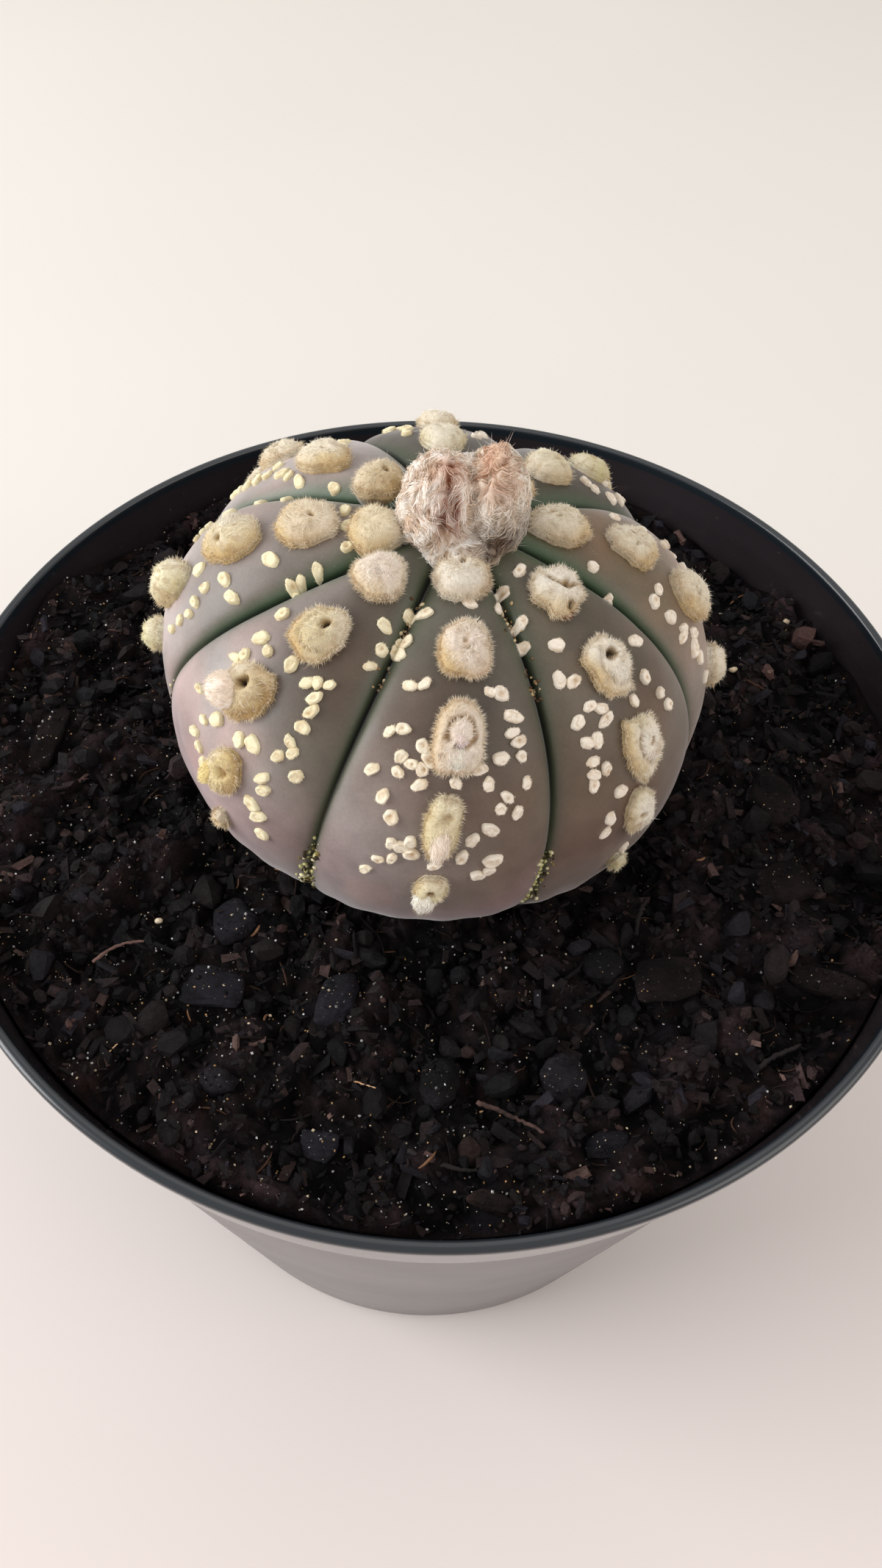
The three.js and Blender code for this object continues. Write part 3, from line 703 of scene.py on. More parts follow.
# ------------------------------------------------------------------ felt
CREAM, IVORY = rgb(247, 239, 218), rgb(252, 248, 238)
PINKISH, LILAC = rgb(248, 234, 224), rgb(240, 230, 236)
GOLD, TAN, OLIVE = rgb(222, 196, 142), rgb(228, 206, 170), rgb(216, 208, 156)
STRAW_Y = rgb(238, 228, 184)
BROWN, RUST, PIT = rgb(104, 76, 50), rgb(178, 116, 84), rgb(52, 40, 24)
AMBER = rgb(176, 142, 86)


class Pad:
    """One felted areole. Sizes in mm in the spot's own s, t."""

    def __init__(self, lat, az, hw, hl, high, **k):
        self.spot = Spot(lat, az)
        self.hw, self.hl, self.high = 0.91 * hw, 0.91 * hl, 0.98 * high
        self.sq = k.get("sq", 2.15)
        self.flat = k.get("flat", 2.6)
        self.base = k.get("base", CREAM) * 0.72 + IVORY * 0.28
        self.edge = k.get("edge", TAN)
        self.glow = k.get("glow", GOLD)  # the yellower side
        self.glow_way = k.get("glow_way", (-0.2, -1.0))
        self.glow_amount = k.get("glow_amount", 0.7)
        self.pits = k.get("pits", [(0.2, 0.6, 0.45, 0.8, 0.7)])  # s, t, radius, depth, how dark
        self.rings = k.get("rings", [])  # s, t, radius s, radius t, width, depth, how dark, share of the turn it is open (from, to)
        self.tufts = k.get("tufts", [])  # s, t, off, radii s, t, out, colour, lean s, t, out
        self.hair = k.get("hair", 1150)
        self.long = k.get("long", 0.75)
        self.loft = k.get("loft", 0.6)
        self.tip = k.get("tip", None)
        self.seed = int(k.get("seed", lat * 10 + az))
        self.lobes = k.get("lobes", 0.06)
        r = np.random.default_rng(self.seed)
        self.phase = r.random(4) * 2 * np.pi

    def reach(self, th):
        p = self.phase
        return 1 + self.lobes * (
            0.6 * np.sin(3 * th + p[0]) + 0.5 * np.sin(5 * th + p[1]) + 0.35 * np.sin(8 * th + p[2]) + 0.3 * np.sin(13 * th + p[3])
        )

    def share(self, s, t):
        th = np.arctan2(t / self.hl, s / self.hw)
        q = (np.abs(s / self.hw) ** self.sq + np.abs(t / self.hl) ** self.sq) ** (1 / self.sq)
        return q / self.reach(th)

    def dent(self, s, t):
        """How deep the felt is pressed in, and how dark it is there."""
        low, dark = np.zeros(len(s)), np.zeros(len(s))
        p = np.stack([s, t, np.full_like(s, self.seed * 0.7)], -1)
        s = s + 0.26 * noise(p, 0.75, 31)
        t = t + 0.26 * noise(p, 0.75, 32)
        for ps, pt, pr, pd, dk in self.pits:
            g = np.exp(-((np.hypot(s - ps, t - pt) / (0.85 * pr)) ** 2.4))
            low = low + 0.85 * pd * g
            dark = np.maximum(dark, dk * g)
        for rs, rt, ra, rb, w, pd, dk, a0, a1 in self.rings:
            d = np.hypot((s - rs) / ra, (t - rt) / rb)
            th = np.degrees(np.arctan2(t - rt, s - rs)) % 360
            mid, half = (a0 + a1) / 2, (a1 - a0) / 2
            gap = np.abs((th - mid + 180) % 360 - 180)
            g = np.exp(-(((d - 1) / w) ** 2)) * (1 - smooth(gap, half, half + 25))
            low = low + 0.7 * pd * g
            dark = np.maximum(dark, 0.55 * dk * g)
        return low, dark

    def height(self, s, t):
        q = np.clip(self.share(s, t), 0, 1)
        h = self.high * (1 - q**self.flat) ** 0.5
        low, _ = self.dent(s, t)
        p = np.stack([s, t, np.full_like(s, self.seed * 1.7)], -1)
        return h - low * smooth(1 - q, 0.0, 0.25) + 0.14 * noise(p, 1.2, 5) * (1 - q) ** 0.5 + 0.06 * noise(p, 0.55, 6) * (1 - q) ** 0.3

    def colour(self, s, t):
        q = np.clip(self.share(s, t), 0, 1.1)
        c = blend(self.base, self.edge, 0.5 * smooth(q, 0.5, 1.0))
        g = np.array(self.glow_way, float)
        g = g / np.hypot(*g)
        lean = (s / self.hw) * g[0] + (t / self.hl) * g[1]
        p = np.stack([s, t, np.full_like(s, self.seed * 3.1)], -1)
        c = blend(c, self.glow, self.glow_amount * smooth(lean + 0.25 * noise(p, 1.3, 9), 0.15, 0.85))
        c = blend(c, rgb(206, 172, 116), 0.34 * smooth(q, 0.84, 1.04) * smooth(lean, -0.9, 0.4))
        # Painted light: the side opposite the yellower one is painted ivory, a lit rim.
        c = blend(c, IVORY, 0.5 * smooth(-lean, 0.2, 0.9))
        c = blend(c, rgb(172, 136, 84), 0.40 * smooth(noise(p, 0.7, 11) + 0.5 * noise(p, 0.35, 16), 0.25, 0.75))
        _, dark = self.dent(s, t)
        c = blend(c, AMBER, 0.8 * smooth(dark, 0.03, 0.45))
        return blend(c, PIT, smooth(dark, 0.35, 1.0))

    def build(self, cores, fuzz, share=1.0):
        nr, nt = 13, 40
        r = np.linspace(0, 1, nr + 1)[1:] ** 0.8
        th = 2 * np.pi * np.arange(nt) / nt
        # The superellipse's own radius in each direction.
        ct, st = np.cos(th), np.sin(th)
        e = (np.abs(ct) ** self.sq + np.abs(st) ** self.sq) ** (-1 / self.sq) * self.reach(th)
        R, E = np.meshgrid(r, e, indexing="ij")
        S, T = R * E * self.hw * ct, R * E * self.hl * st
        s, t = S.ravel(), T.ravel()
        off = self.height(s, t)
        pts = self.spot.at(s, t, off)
        # Painted shade: the felt under the hairs is darkened, as in the shade between fibres.
        col = self.colour(s, t) * 0.84
        # Overhanging foot, then a skirt that goes into the skin.
        foot = [(1.03, 0.28), (0.99, -0.25), (0.9, -1.3)]
        rim_s, rim_t = S[-1], T[-1]
        for k, o in foot:
            pts = np.concatenate([pts, self.spot.at(rim_s * k, rim_t * k, np.full(nt, o))])
            col = np.concatenate([col, blend(self.colour(rim_s, rim_t), BROWN, np.full(nt, 0.15 if k > 1 else 0.4))])
        first = cores.n
        cores.add(pts, grid_faces(nr + 3, nt), col)
        zero = np.zeros(1)
        cores.add(self.spot.at(zero, zero, self.height(zero, zero)), np.zeros((0, 3), int), self.colour(zero, zero))
        cores.also(fan_faces(cores.n - 1, first, nt), 0)
        cores.add(self.spot.at(zero, zero, zero - 1.8), np.zeros((0, 3), int), BROWN)
        cores.also(fan_faces(cores.n - 1, first + (nr + 2) * nt, nt, False), 0)
        self.fur(fuzz, int(self.hair * share))
        for tuft in self.tufts:
            self.tuft(cores, fuzz, share, *tuft)

    def spread(self, n, rim):
        """n places over the felt, a share rim of them crowded at its edge."""
        r = rng.random(n) ** 0.55
        r = np.where(rng.random(n) < rim, 0.90 + 0.12 * rng.random(n), r)
        th = rng.random(n) * 2 * np.pi
        e = (np.abs(np.cos(th)) ** self.sq + np.abs(np.sin(th)) ** self.sq) ** (-1 / self.sq) * self.reach(th)
        return r * e * self.hw * np.cos(th), r * e * self.hl * np.sin(th), r, th

    def fur(self, fuzz, n):
        # Fibres that lie along the felt, combed outward from its middle.
        s, t, r, th = self.spread(int(1.05 * n), 0.12)
        _, dark = self.dent(s, t)
        keep = rng.random(len(s)) > dark * 0.75
        s, t, r, dark = s[keep], t[keep], np.minimum(r[keep], 0.98), dark[keep]
        m = len(s)
        ps, pt = self.pits[0][:2] if self.pits else (0, 0)
        ds, dt = s - ps, t - pt
        far = np.hypot(ds, dt)
        ds, dt = ds / (far + 1e-6), dt / (far + 1e-6)
        p = np.stack([s, t, np.full(m, self.seed * 2.3)], -1)
        sway = 1.2 * noise(p, 1.2, 12) + 1.0 * noise(p, 0.5, 13) + 0.45 * rng.normal(size=m)
        ds, dt = ds + sway * dt, dt - sway * ds
        long = 0.85 * self.long * (0.45 + 0.65 * rng.random(m))
        s2, t2 = s + ds * long, t + dt * long
        # The tips gather into small locks.
        ls, lt, own = locks(s2, t2, 0.50, self.seed)
        s2, t2 = s2 + 0.58 * (ls - s2), t2 + 0.58 * (lt - t2)
        q2 = self.share(s2, t2)
        k = np.where(q2 > 0.985, 0.985 / q2, 1.0)
        s2, t2 = s2 * k, t2 * k
        h2 = self.height(s2, t2) + 0.02 + (0.10 + 0.26 * own) * (0.4 + 0.6 * rng.random(m)) * (k > 0.999)
        root = self.spot.at(s, t, self.height(s, t) - 0.05)
        way = self.spot.at(s2, t2, h2) - root
        c = self.colour(s, t)
        vary = (1.06 + 0.20 * noise(p, 0.45, 14) + 0.08 * rng.normal(size=m))[:, None]
        c = blend(c, AMBER, 0.35 * smooth(noise(p, 0.55, 15), 0.25, 0.8) * smooth(r, 0.3, 0.9)) * vary * (0.88 + 0.26 * own)[:, None]
        # Painted shade and light: hair roots darkened as in shade among the fibres, tips paled as lit.
        tip = np.clip(blend(c, self.tip if self.tip is not None else IVORY, 0.6 * (1 - dark)) * 1.12, 0, 1)
        hairs(fuzz, root, way, np.linalg.norm(way, axis=1), 0.05 + 0.05 * rng.random(m), np.clip(c * 0.84, 0, 1), tip)
        # Short fuzz that stands off it, thickest round its edge.
        s, t, r, th = self.spread(int(1.25 * n), 0.70)
        _, dark = self.dent(s, t)
        keep = rng.random(len(s)) > dark
        s, t, r, th = s[keep], t[keep], r[keep], th[keep]
        m = len(s)
        rim = r > 0.96
        knot = 2 * np.pi * (np.floor(th / (2 * np.pi) * 23) + 0.5) / 23 + 0.09 * np.sin(9 * np.floor(th * 3.66) + self.seed)
        th = np.where(rim, th + 0.75 * (knot - th), th)
        off = np.where(rim, -0.1 + 1.0 * rng.random(m) * min(1.0, self.high / 1.6), self.height(s, t)) - 0.04
        ds, dt = np.cos(th) / self.hw, np.sin(th) / self.hl
        far = np.hypot(ds, dt)
        j = rng.normal(size=(m, 3)) * np.where(rim, 0.26, 0.42)[:, None]
        way = self.spot.way(0.85 * ds / far + j[:, 0], 0.85 * dt / far + j[:, 1], np.where(rim, 0.12, 0.30) + 0.35 * (1 - r) + 0.5 * np.abs(j[:, 2]))
        c = self.colour(s, t) * (0.96 + 0.08 * rng.random(m))[:, None]
        c = blend(c, CREAM, 0.5 * rim)
        tip = np.clip(blend(c, IVORY, np.full(m, 0.6)) * 1.04, 0, 1)
        hairs(fuzz, self.spot.at(s, t, off), way, 0.20 + 0.40 * rng.random(m), 0.052, np.clip(c * 0.96, 0, 1), tip)
        # A few stray threads.
        m = 9
        s, t, r, th = self.spread(m, 0.5)
        way = self.spot.way(np.cos(th) + rng.normal(size=m) * 0.6, np.sin(th) + rng.normal(size=m) * 0.6, 0.25 + 0.5 * rng.random(m))
        c = np.clip(self.colour(s, t) * 1.03, 0, 1)
        hairs(fuzz, self.spot.at(s, t, self.height(s, t) - 0.05), way, 0.4 + 0.5 * rng.random(m), 0.036, c, c, rng.normal(size=(m, 3)) * 0.45, 2)

    def tuft(self, cores, fuzz, share, s, t, off, ra, rb, rc, colour, lean=(0, 0, 1), long=0.9, count=500):
        """A ball or tongue of wool that stands out of the areole."""
        sp = self.spot
        colour = np.clip(colour * 1.10, 0, 1)
        v, f = ball(3)
        basis = np.stack([sp.side, sp.up, sp.out])
        o = sp.at(np.array([s]), np.array([t]), np.array([off]))[0]
        bump = 0.93 + 0.10 * noise(v * 3 + self.seed, 1.0, 3) + 0.05 * noise(v * 3 + self.seed, 0.4, 4)
        q = v * bump[:, None] * [ra, rb, rc]
        shade = 0.93 + 0.07 * smooth(v[:, 2], -0.6, 0.5)
        cores.add(o + q @ basis, f, colour * shade[:, None])
        n = int(1.7 * count * share)
        d = unit(rng.normal(size=(n, 3)))
        d = d[d[:, 2] > -0.55]
        n = len(d)
        out = unit(d / [ra, rb, rc])
        lean3 = np.array(lean, float)
        run = lean3 - out * (out @ lean3)[:, None]
        swirl = np.cross(out, run)
        turn = 0.7 * noise(d * 2 + self.seed, 0.9, 7) + 0.25 * rng.normal(size=n)
        way = run + swirl * turn[:, None] + out * (0.16 + 0.22 * rng.random(n) ** 2)[:, None] + rng.normal(size=(n, 3)) * 0.10
        root = (d * [ra, rb, rc] * 0.92)
        length = 0.7 * long * (0.4 + 0.8 * rng.random(n))
        vary = (0.97 + 0.12 * noise(d * 3 + self.seed, 0.35, 8) + 0.03 * rng.normal(size=n))[:, None]
        c = colour * vary
        hairs(fuzz, o + root @ basis, way @ basis, length, 0.055 + 0.045 * rng.random(n), np.clip(c * 0.95, 0, 1), np.clip(c * 1.05, 0, 1))


P = dict
AREOLES = [
    # front rib
    (10.9, 274.5, 2.9, 2.5, 2.3, P(pits=[(-0.1, 1.0, 0.42, 0.7, 0.75), (1.2, 0.6, 0.5, 0.35, 0.25)], glow_way=(0.6, 0.7), glow_amount=0.45, base=IVORY, hair=1300)),
    (25.0, 275.0, 2.6, 3.0, 1.9, P(sq=2.7, lobes=0.05, pits=[(0.1, 0.6, 0.35, 0.35, 0.35)], rings=[(0.1, 0.6, 0.85, 0.8, 0.35, 0.3, 0.22, 0, 360)], glow_way=(-0.9, -0.7), glow_amount=0.85, base=PINKISH, hair=1300)),
    (43.5, 273.5, 2.5, 3.7, 1.6, P(sq=3.0, lobes=0.04, pits=[], rings=[(0.1, 0.6, 1.25, 1.4, 0.20, 0.9, 0.75, -95, 215)], glow_way=(-1.0, 0.2), glow_amount=0.35, base=PINKISH, tufts=[(0.1, 0.1, 0.75, 0.85, 1.15, 0.75, LILAC, (0, -0.5, 0.7), 0.8, 420), (0.0, -1.6, 0.9, 1.1, 1.1, 0.6, IVORY, (0, -0.8, 0.4), 0.9, 380)], hair=1150)),
    (64.8, 271.5, 1.8, 3.6, 1.5, P(sq=2.8, lobes=0.06, pits=[(0.2, 1.1, 0.6, 0.5, 0.3)], base=rgb(232, 220, 176), edge=rgb(214, 196, 140), glow_amount=0.4, tip=CREAM, tufts=[(0.1, -1.2, 1.0, 0.95, 2.3, 0.8, PINKISH, (0.1, -1.0, 0.25), 1.1, 560)], hair=900)),
    (84.5, 271.0, 1.7, 2.2, 1.5, P(base=STRAW_Y, edge=GOLD, pits=[(0.1, 0.4, 0.5, 0.7, 0.6)], tufts=[(-0.4, -1.2, 1.0, 1.15, 1.35, 1.0, IVORY, (-0.1, -1.0, 0.3), 1.0, 420), (-0.3, -2.7, 0.5, 0.5, 0.6, 0.4, OLIVE, (0.1, -1.4, 0.1), 1.5, 60)], hair=700)),
    # left front rib
    (16.6, 227.0, 3.0, 2.7, 2.2, P(base=PINKISH, tip=IVORY, edge=CREAM, pits=[(0.5, 0.9, 0.5, 0.35, 0.2)], rings=[(0.4, 0.6, 1.1, 0.9, 0.3, 0.2, 0.12, 0, 360)], glow_way=(-0.1, -1), glow_amount=0.5, hair=1400)),
    (32.9, 227.5, 2.9, 3.1, 1.9, P(base=rgb(222, 208, 160), edge=TAN, pits=[(0.35, 0.9, 0.62, 1.3, 1.0)], rings=[(0.5, 0.3, 1.9, 2.1, 0.16, 0.5, 0.35, 130, 330)], glow_way=(-0.8, -0.9), glow_amount=0.95, hair=1200)),
    (53.6, 222.6, 3.0, 3.2, 2.0, P(base=rgb(214, 192, 138), edge=TAN, pits=[(-0.2, 0.9, 0.62, 1.4, 1.0)], glow_way=(0.9, -0.3), glow_amount=0.85, tufts=[(-1.2, -1.1, 1.5, 1.95, 1.75, 1.6, PINKISH, (-0.5, -0.5, 0.5), 0.9, 800)], hair=1100, rings=[(0.9, -0.1, 1.5, 1.9, 0.2, 0.7, 0.6, -80, 90)])),
    (75.6, 226.0, 2.1, 3.1, 1.7, P(base=rgb(228, 206, 130), edge=GOLD, pits=[(0.5, 0.9, 0.7, 0.7, 0.4)], glow_way=(0.9, -0.2), glow_amount=0.95, tufts=[(-0.9, -0.8, 1.2, 0.9, 1.5, 0.8, rgb(236, 222, 168), (-0.4, -0.8, 0.4), 0.9, 380)], hair=800)),
    (91.9, 226.0, 1.1, 1.4, 1.2, P(base=GOLD, edge=rgb(150, 112, 52), pits=[(0, 0.3, 0.3, 0.4, 0.5)], hair=420, long=0.55)),
    # right front rib
    (19.5, 324.5, 2.8, 2.8, 2.1, P(lobes=0.12, base=IVORY, edge=CREAM, pits=[(0.4, -0.3, 0.45, 0.8, 0.75), (-0.3, 1.1, 0.4, 0.7, 0.7), (-0.6, -1.9, 0.5, 0.7, 0.95)], rings=[(1.7, 1.0, 2.0, 2.0, 0.14, 0.9, 0.9, 165, 255)], glow_way=(-0.8, -0.8), glow_amount=0.6, tufts=[(-0.9, -2.3, 0.4, 0.62, 0.55, 0.45, rgb(150, 104, 84), (-0.2, -0.9, 0.4), 0.5, 160)], hair=1250)),
    (37.6, 319.5, 2.6, 3.2, 1.8, P(lobes=0.10, base=IVORY, edge=CREAM, pits=[(0.3, 0.9, 0.62, 1.2, 1.0)], rings=[(0.5, 0.0, 1.6, 2.1, 0.15, 0.5, 0.3, 120, 300)], glow_way=(-1.0, -0.3), glow_amount=0.8, hair=1250)),
    (58.6, 317.5, 2.4, 3.3, 1.7, P(sq=2.7, lobes=0.13, base=IVORY, edge=STRAW_Y, pits=[(0.3, 0.5, 0.28, 0.5, 0.8)], rings=[(0.6, 0.3, 1.5, 1.9, 0.16, 0.7, 0.5, 110, 290)], glow_way=(-1.0, -0.1), glow_amount=0.7, tufts=[(0.7, 0.2, 0.85, 1.05, 1.4, 0.6, rgb(228, 186, 166), (0.2, -0.6, 0.7), 0.7, 380)], hair=1150)),
    (75.9, 314.0, 1.8, 2.8, 1.6, P(base=IVORY, edge=STRAW_Y, pits=[(-0.3, 0.2, 0.4, 0.6, 0.5)], glow_way=(-1, -0.5), glow_amount=0.5, tufts=[(0.4, -0.3, 0.8, 0.9, 1.4, 0.7, IVORY, (0.4, -0.8, 0.5), 1.0, 360)], hair=850)),
    (92.7, 311.5, 1.0, 1.3, 1.2, P(base=OLIVE, edge=rgb(150, 140, 70), pits=[], hair=420, long=0.55)),
    # left rib
    (12.4, 196.5, 2.7, 2.9, 2.2, P(base=rgb(240, 226, 190), edge=GOLD, pits=[], glow_way=(-0.3, -1), glow_amount=0.6, hair=1100)),
    (25.2, 183.5, 2.7, 3.4, 2.0, P(base=rgb(232, 214, 182), edge=TAN, pits=[(0.3, 0.9, 0.4, 0.7, 0.65)], rings=[(0.2, 0.4, 1.6, 1.5, 0.2, 0.25, 0.15, 0, 360)], glow_way=(0, -1), glow_amount=0.7, hair=1250)),
    (43.5, 182.0, 2.7, 3.6, 2.2, P(base=rgb(236, 222, 184), edge=GOLD, pits=[(0.6, -0.4, 0.5, 0.8, 0.6)], glow_way=(0.9, -0.6), glow_amount=0.9, tufts=[(-0.7, 0.5, 1.4, 1.3, 1.5, 1.0, rgb(246, 242, 232), (-0.2, 0.4, 1.0), 1.1, 520)], hair=1150)),
    (67.0, 182.0, 2.7, 3.3, 2.5, P(base=rgb(242, 238, 200), edge=STRAW_Y, pits=[(0.4, 0.7, 0.5, 0.7, 0.5)], glow_way=(0.6, -0.9), glow_amount=0.45, tufts=[(-0.3, 0.2, 1.5, 1.2, 1.7, 1.0, rgb(244, 240, 214), (-0.3, 0, 0.9), 0.9, 380)], hair=900)),
    (83.8, 185.0, 2.1, 2.4, 2.1, P(base=rgb(236, 234, 176), edge=STRAW_Y, glow_amount=0.4, pits=[(0, 0.3, 0.4, 0.5, 0.5)], hair=600)),
    # right rib
    (15.9, 8.0, 2.7, 3.4, 2.2, P(base=CREAM, edge=TAN, pits=[(0.3, 1.0, 0.4, 0.5, 0.45), (-0.5, 0.6, 0.3, 0.4, 0.3)], glow_way=(0, -1), glow_amount=0.65, hair=1250)),
    (33.4, 7.0, 2.7, 3.1, 1.9, P(lobes=0.11, base=CREAM, edge=TAN, pits=[(0.5, 0.9, 0.32, 0.6, 0.8), (1.3, 0.1, 0.3, 0.6, 0.9), (-0.9, 0.6, 0.25, 0.4, 0.5)], glow_way=(-0.8, -0.9), glow_amount=0.75, hair=1250)),
    (53.0, 1.5, 2.8, 3.3, 2.2, P(base=CREAM, edge=TAN, pits=[(0.3, 0.5, 0.4, 0.5, 0.35)], rings=[(0.3, 0.2, 1.4, 1.7, 0.16, 0.5, 0.4, 130, 280)], glow_way=(-1, -0.4), glow_amount=0.7, tufts=[(0.3, 0.2, 0.8, 0.95, 1.3, 0.6, IVORY, (0.2, 0, 1), 0.6, 320)], hair=1100)),
    (78.0, -2.0, 2.1, 2.5, 2.0, P(base=CREAM, edge=CREAM, pits=[(0.1, 0.5, 0.4, 0.6, 0.5)], hair=850)),
    (93.5, 3.0, 1.3, 1.6, 1.3, P(base=STRAW_Y, edge=GOLD, pits=[(0, 0.3, 0.3, 0.4, 0.5)], hair=500)),
    # left back rib
    (14.8, 148.0, 2.8, 2.7, 2.1, P(base=rgb(226, 208, 168), edge=TAN, pits=[(-0.4, 0.6, 0.42, 0.9, 0.9)], glow_way=(0, 1.0), glow_amount=0.7, hair=1200)),
    (31.4, 144.0, 2.7, 3.4, 2.0, P(base=CREAM, edge=GOLD, pits=[(0.1, 0.7, 0.4, 0.5, 0.4)], glow_way=(0.3, 1.0), glow_amount=0.7, hair=1150)),
    (53.9, 140.5, 2.6, 3.1, 1.8, P(base=CREAM, edge=GOLD, pits=[(0.2, 0.6, 0.4, 0.6, 0.5)], glow_amount=0.6, hair=1050)),
    (74.0, 140.0, 2.1, 2.9, 1.6, P(base=CREAM, edge=STRAW_Y, hair=800)),
    # right back rib
    (12.5, 52.0, 2.6, 2.4, 2.0, P(base=CREAM, edge=TAN, hair=1000)),
    (25.7, 51.0, 2.8, 2.9, 2.0, P(base=rgb(232, 224, 192), edge=TAN, pits=[(-0.4, -0.6, 0.5, 0.5, 0.3)], glow_amount=0.4, hair=1100)),
    (47.0, 49.0, 2.6, 3.1, 1.8, P(base=rgb(224, 216, 160), edge=OLIVE, pits=[(0.2, 0.4, 0.5, 0.5, 0.4)], hair=1000)),
    (66.0, 51.0, 2.2, 3.0, 1.7, P(base=CREAM, edge=STRAW_Y, hair=850)),
    (84.0, 52.0, 1.6, 2.2, 1.4, P(base=STRAW_Y, edge=GOLD, hair=550)),
    # back rib
    (10.8, 97.0, 2.6, 2.4, 2.1, P(base=CREAM, edge=TAN, hair=900)),
    (24.7, 97.5, 2.6, 3.0, 1.9, P(base=rgb(238, 232, 212), edge=STRAW_Y, pits=[(0.2, -0.3, 0.4, 0.4, 0.25)], glow_amount=0.35, hair=1050)),
    (43.5, 96.5, 2.5, 3.2, 1.8, P(base=CREAM, edge=GOLD, tufts=[(0.1, -0.4, 0.8, 0.9, 1.2, 0.6, LILAC, (0, -0.6, 0.7), 0.8, 320)], hair=950)),
    (64.0, 96.0, 2.1, 3.1, 1.6, P(base=STRAW_Y, edge=OLIVE, tufts=[(0.0, -1.0, 0.8, 0.9, 1.7, 0.7, PINKISH, (0, -1.0, 0.4), 0.9, 360)], hair=800)),
    (83.0, 96.0, 1.6, 2.2, 1.4, P(base=STRAW_Y, edge=GOLD, hair=550)),
]

# Small felted flecks, each latitude and azimuth, rib by rib.
FLECKS = {
    "front": [(15.3, 278.5), (18.1, 256.0), (19.0, 249.5), (24.5, 252.0), (27.2, 251.5), (16.3, 295.5), (21.0, 300.0), (25.0, 299.0), (33.6, 259.0), (32.6, 263.0), (33.6, 282.5), (34.1, 285.5), (44.3, 257.0), (43.0, 260.0), (53.9, 255.5), (46.0, 265.5), (49.2, 261.0), (52.9, 261.0), (50.4, 263.5), (51.2, 266.0), (54.9, 266.0), (48.5, 267.5), (59.6, 259.0), (64.3, 261.5), (39.3, 288.0), (42.8, 287.0), (45.0, 288.5), (48.5, 288.5), (48.2, 283.5), (55.1, 289.0), (50.4, 278.5), (54.1, 280.5), (57.8, 284.5), (60.6, 283.0), (62.3, 286.5), (53.6, 273.5), (66.0, 281.0), (68.7, 277.5), (73.9, 276.0), (75.6, 282.0), (80.3, 279.5), (79.1, 281.5), (82.1, 258.5), (77.6, 260.5), (76.4, 263.0), (71.7, 262.5), (72.2, 264.5), (70.4, 266.0), (73.9, 266.5), (76.9, 271.0)],
    "right_front": [(13.6, 301.5), (20.5, 302.5), (12.1, 319.5), (27.9, 309.0), (34.6, 304.5), (36.3, 308.0), (23.7, 351.0), (29.9, 343.5), (39.1, 334.0), (46.0, 328.0), (48.0, 321.0), (52.4, 329.5), (56.6, 330.0), (45.0, 304.5), (42.8, 309.0), (44.5, 311.5), (47.5, 311.5), (50.4, 305.0), (50.7, 307.5), (55.4, 305.0), (58.6, 307.5), (58.8, 304.5), (61.3, 304.0), (67.0, 310.0), (73.7, 307.0), (77.9, 306.0), (89.5, 313.0)],
    "left_front": [(23.7, 243.0), (28.2, 246.0), (32.4, 245.5), (41.5, 227.0), (36.1, 213.0), (43.0, 215.0), (43.5, 219.5), (48.5, 215.5), (50.9, 214.0), (51.2, 216.5), (65.3, 211.5), (58.1, 215.5), (56.4, 216.5), (42.5, 233.5), (41.3, 235.5), (40.3, 238.5), (44.5, 237.0), (47.5, 238.0), (51.7, 238.0), (56.4, 237.0), (58.6, 238.5), (61.3, 236.0), (63.8, 241.0), (64.8, 226.5), (63.0, 230.0), (69.5, 234.5), (72.7, 235.5), (79.1, 233.5), (81.6, 235.5), (87.0, 236.5), (69.7, 216.5), (75.9, 215.0), (78.1, 217.5), (81.1, 219.5), (66.0, 219.5)],
    "left": [(33.9, 194.0), (46.2, 193.0), (45.7, 198.5), (54.6, 185.0), (52.7, 191.5), (57.1, 193.0), (60.6, 194.0), (65.0, 193.0), (69.9, 192.5), (17.3, 186.5), (23.7, 156.5), (18.1, 175.0), (25.2, 204.5), (29.4, 205.0), (31.6, 205.0), (18.1, 200.0)],
    "right": [(41.0, 355.5), (40.5, 351.0), (46.7, 350.5), (52.4, 351.0), (53.1, 349.0), (57.3, 353.0), (59.3, 350.0), (63.8, 350.5), (72.2, 350.5), (36.8, 38.5), (49.7, 37.0)],
    "left_back": [(50.7, 153.5), (41.3, 152.0), (55.1, 153.5)],
}
# The far ribs can't be seen in the photograph: the same two rows of flecks beside their areoles.
for name, centre, sides in (("left_back", 139.5, (-11, 11)), ("back", 96, (-12, 12)), ("right_back", 52, (-11, 12)), ("right", 6, (13,)), ("left", 177, (-11,))):
    more = FLECKS.setdefault(name, [])
    for side in sides:
        for lat in np.arange(34, 84, 4.3):
            if rng.random() < 0.82:
                more.append((lat + rng.normal() * 1.2, centre + side * (1 + 0.12 * rng.normal()) + 2.2 * rng.normal()))


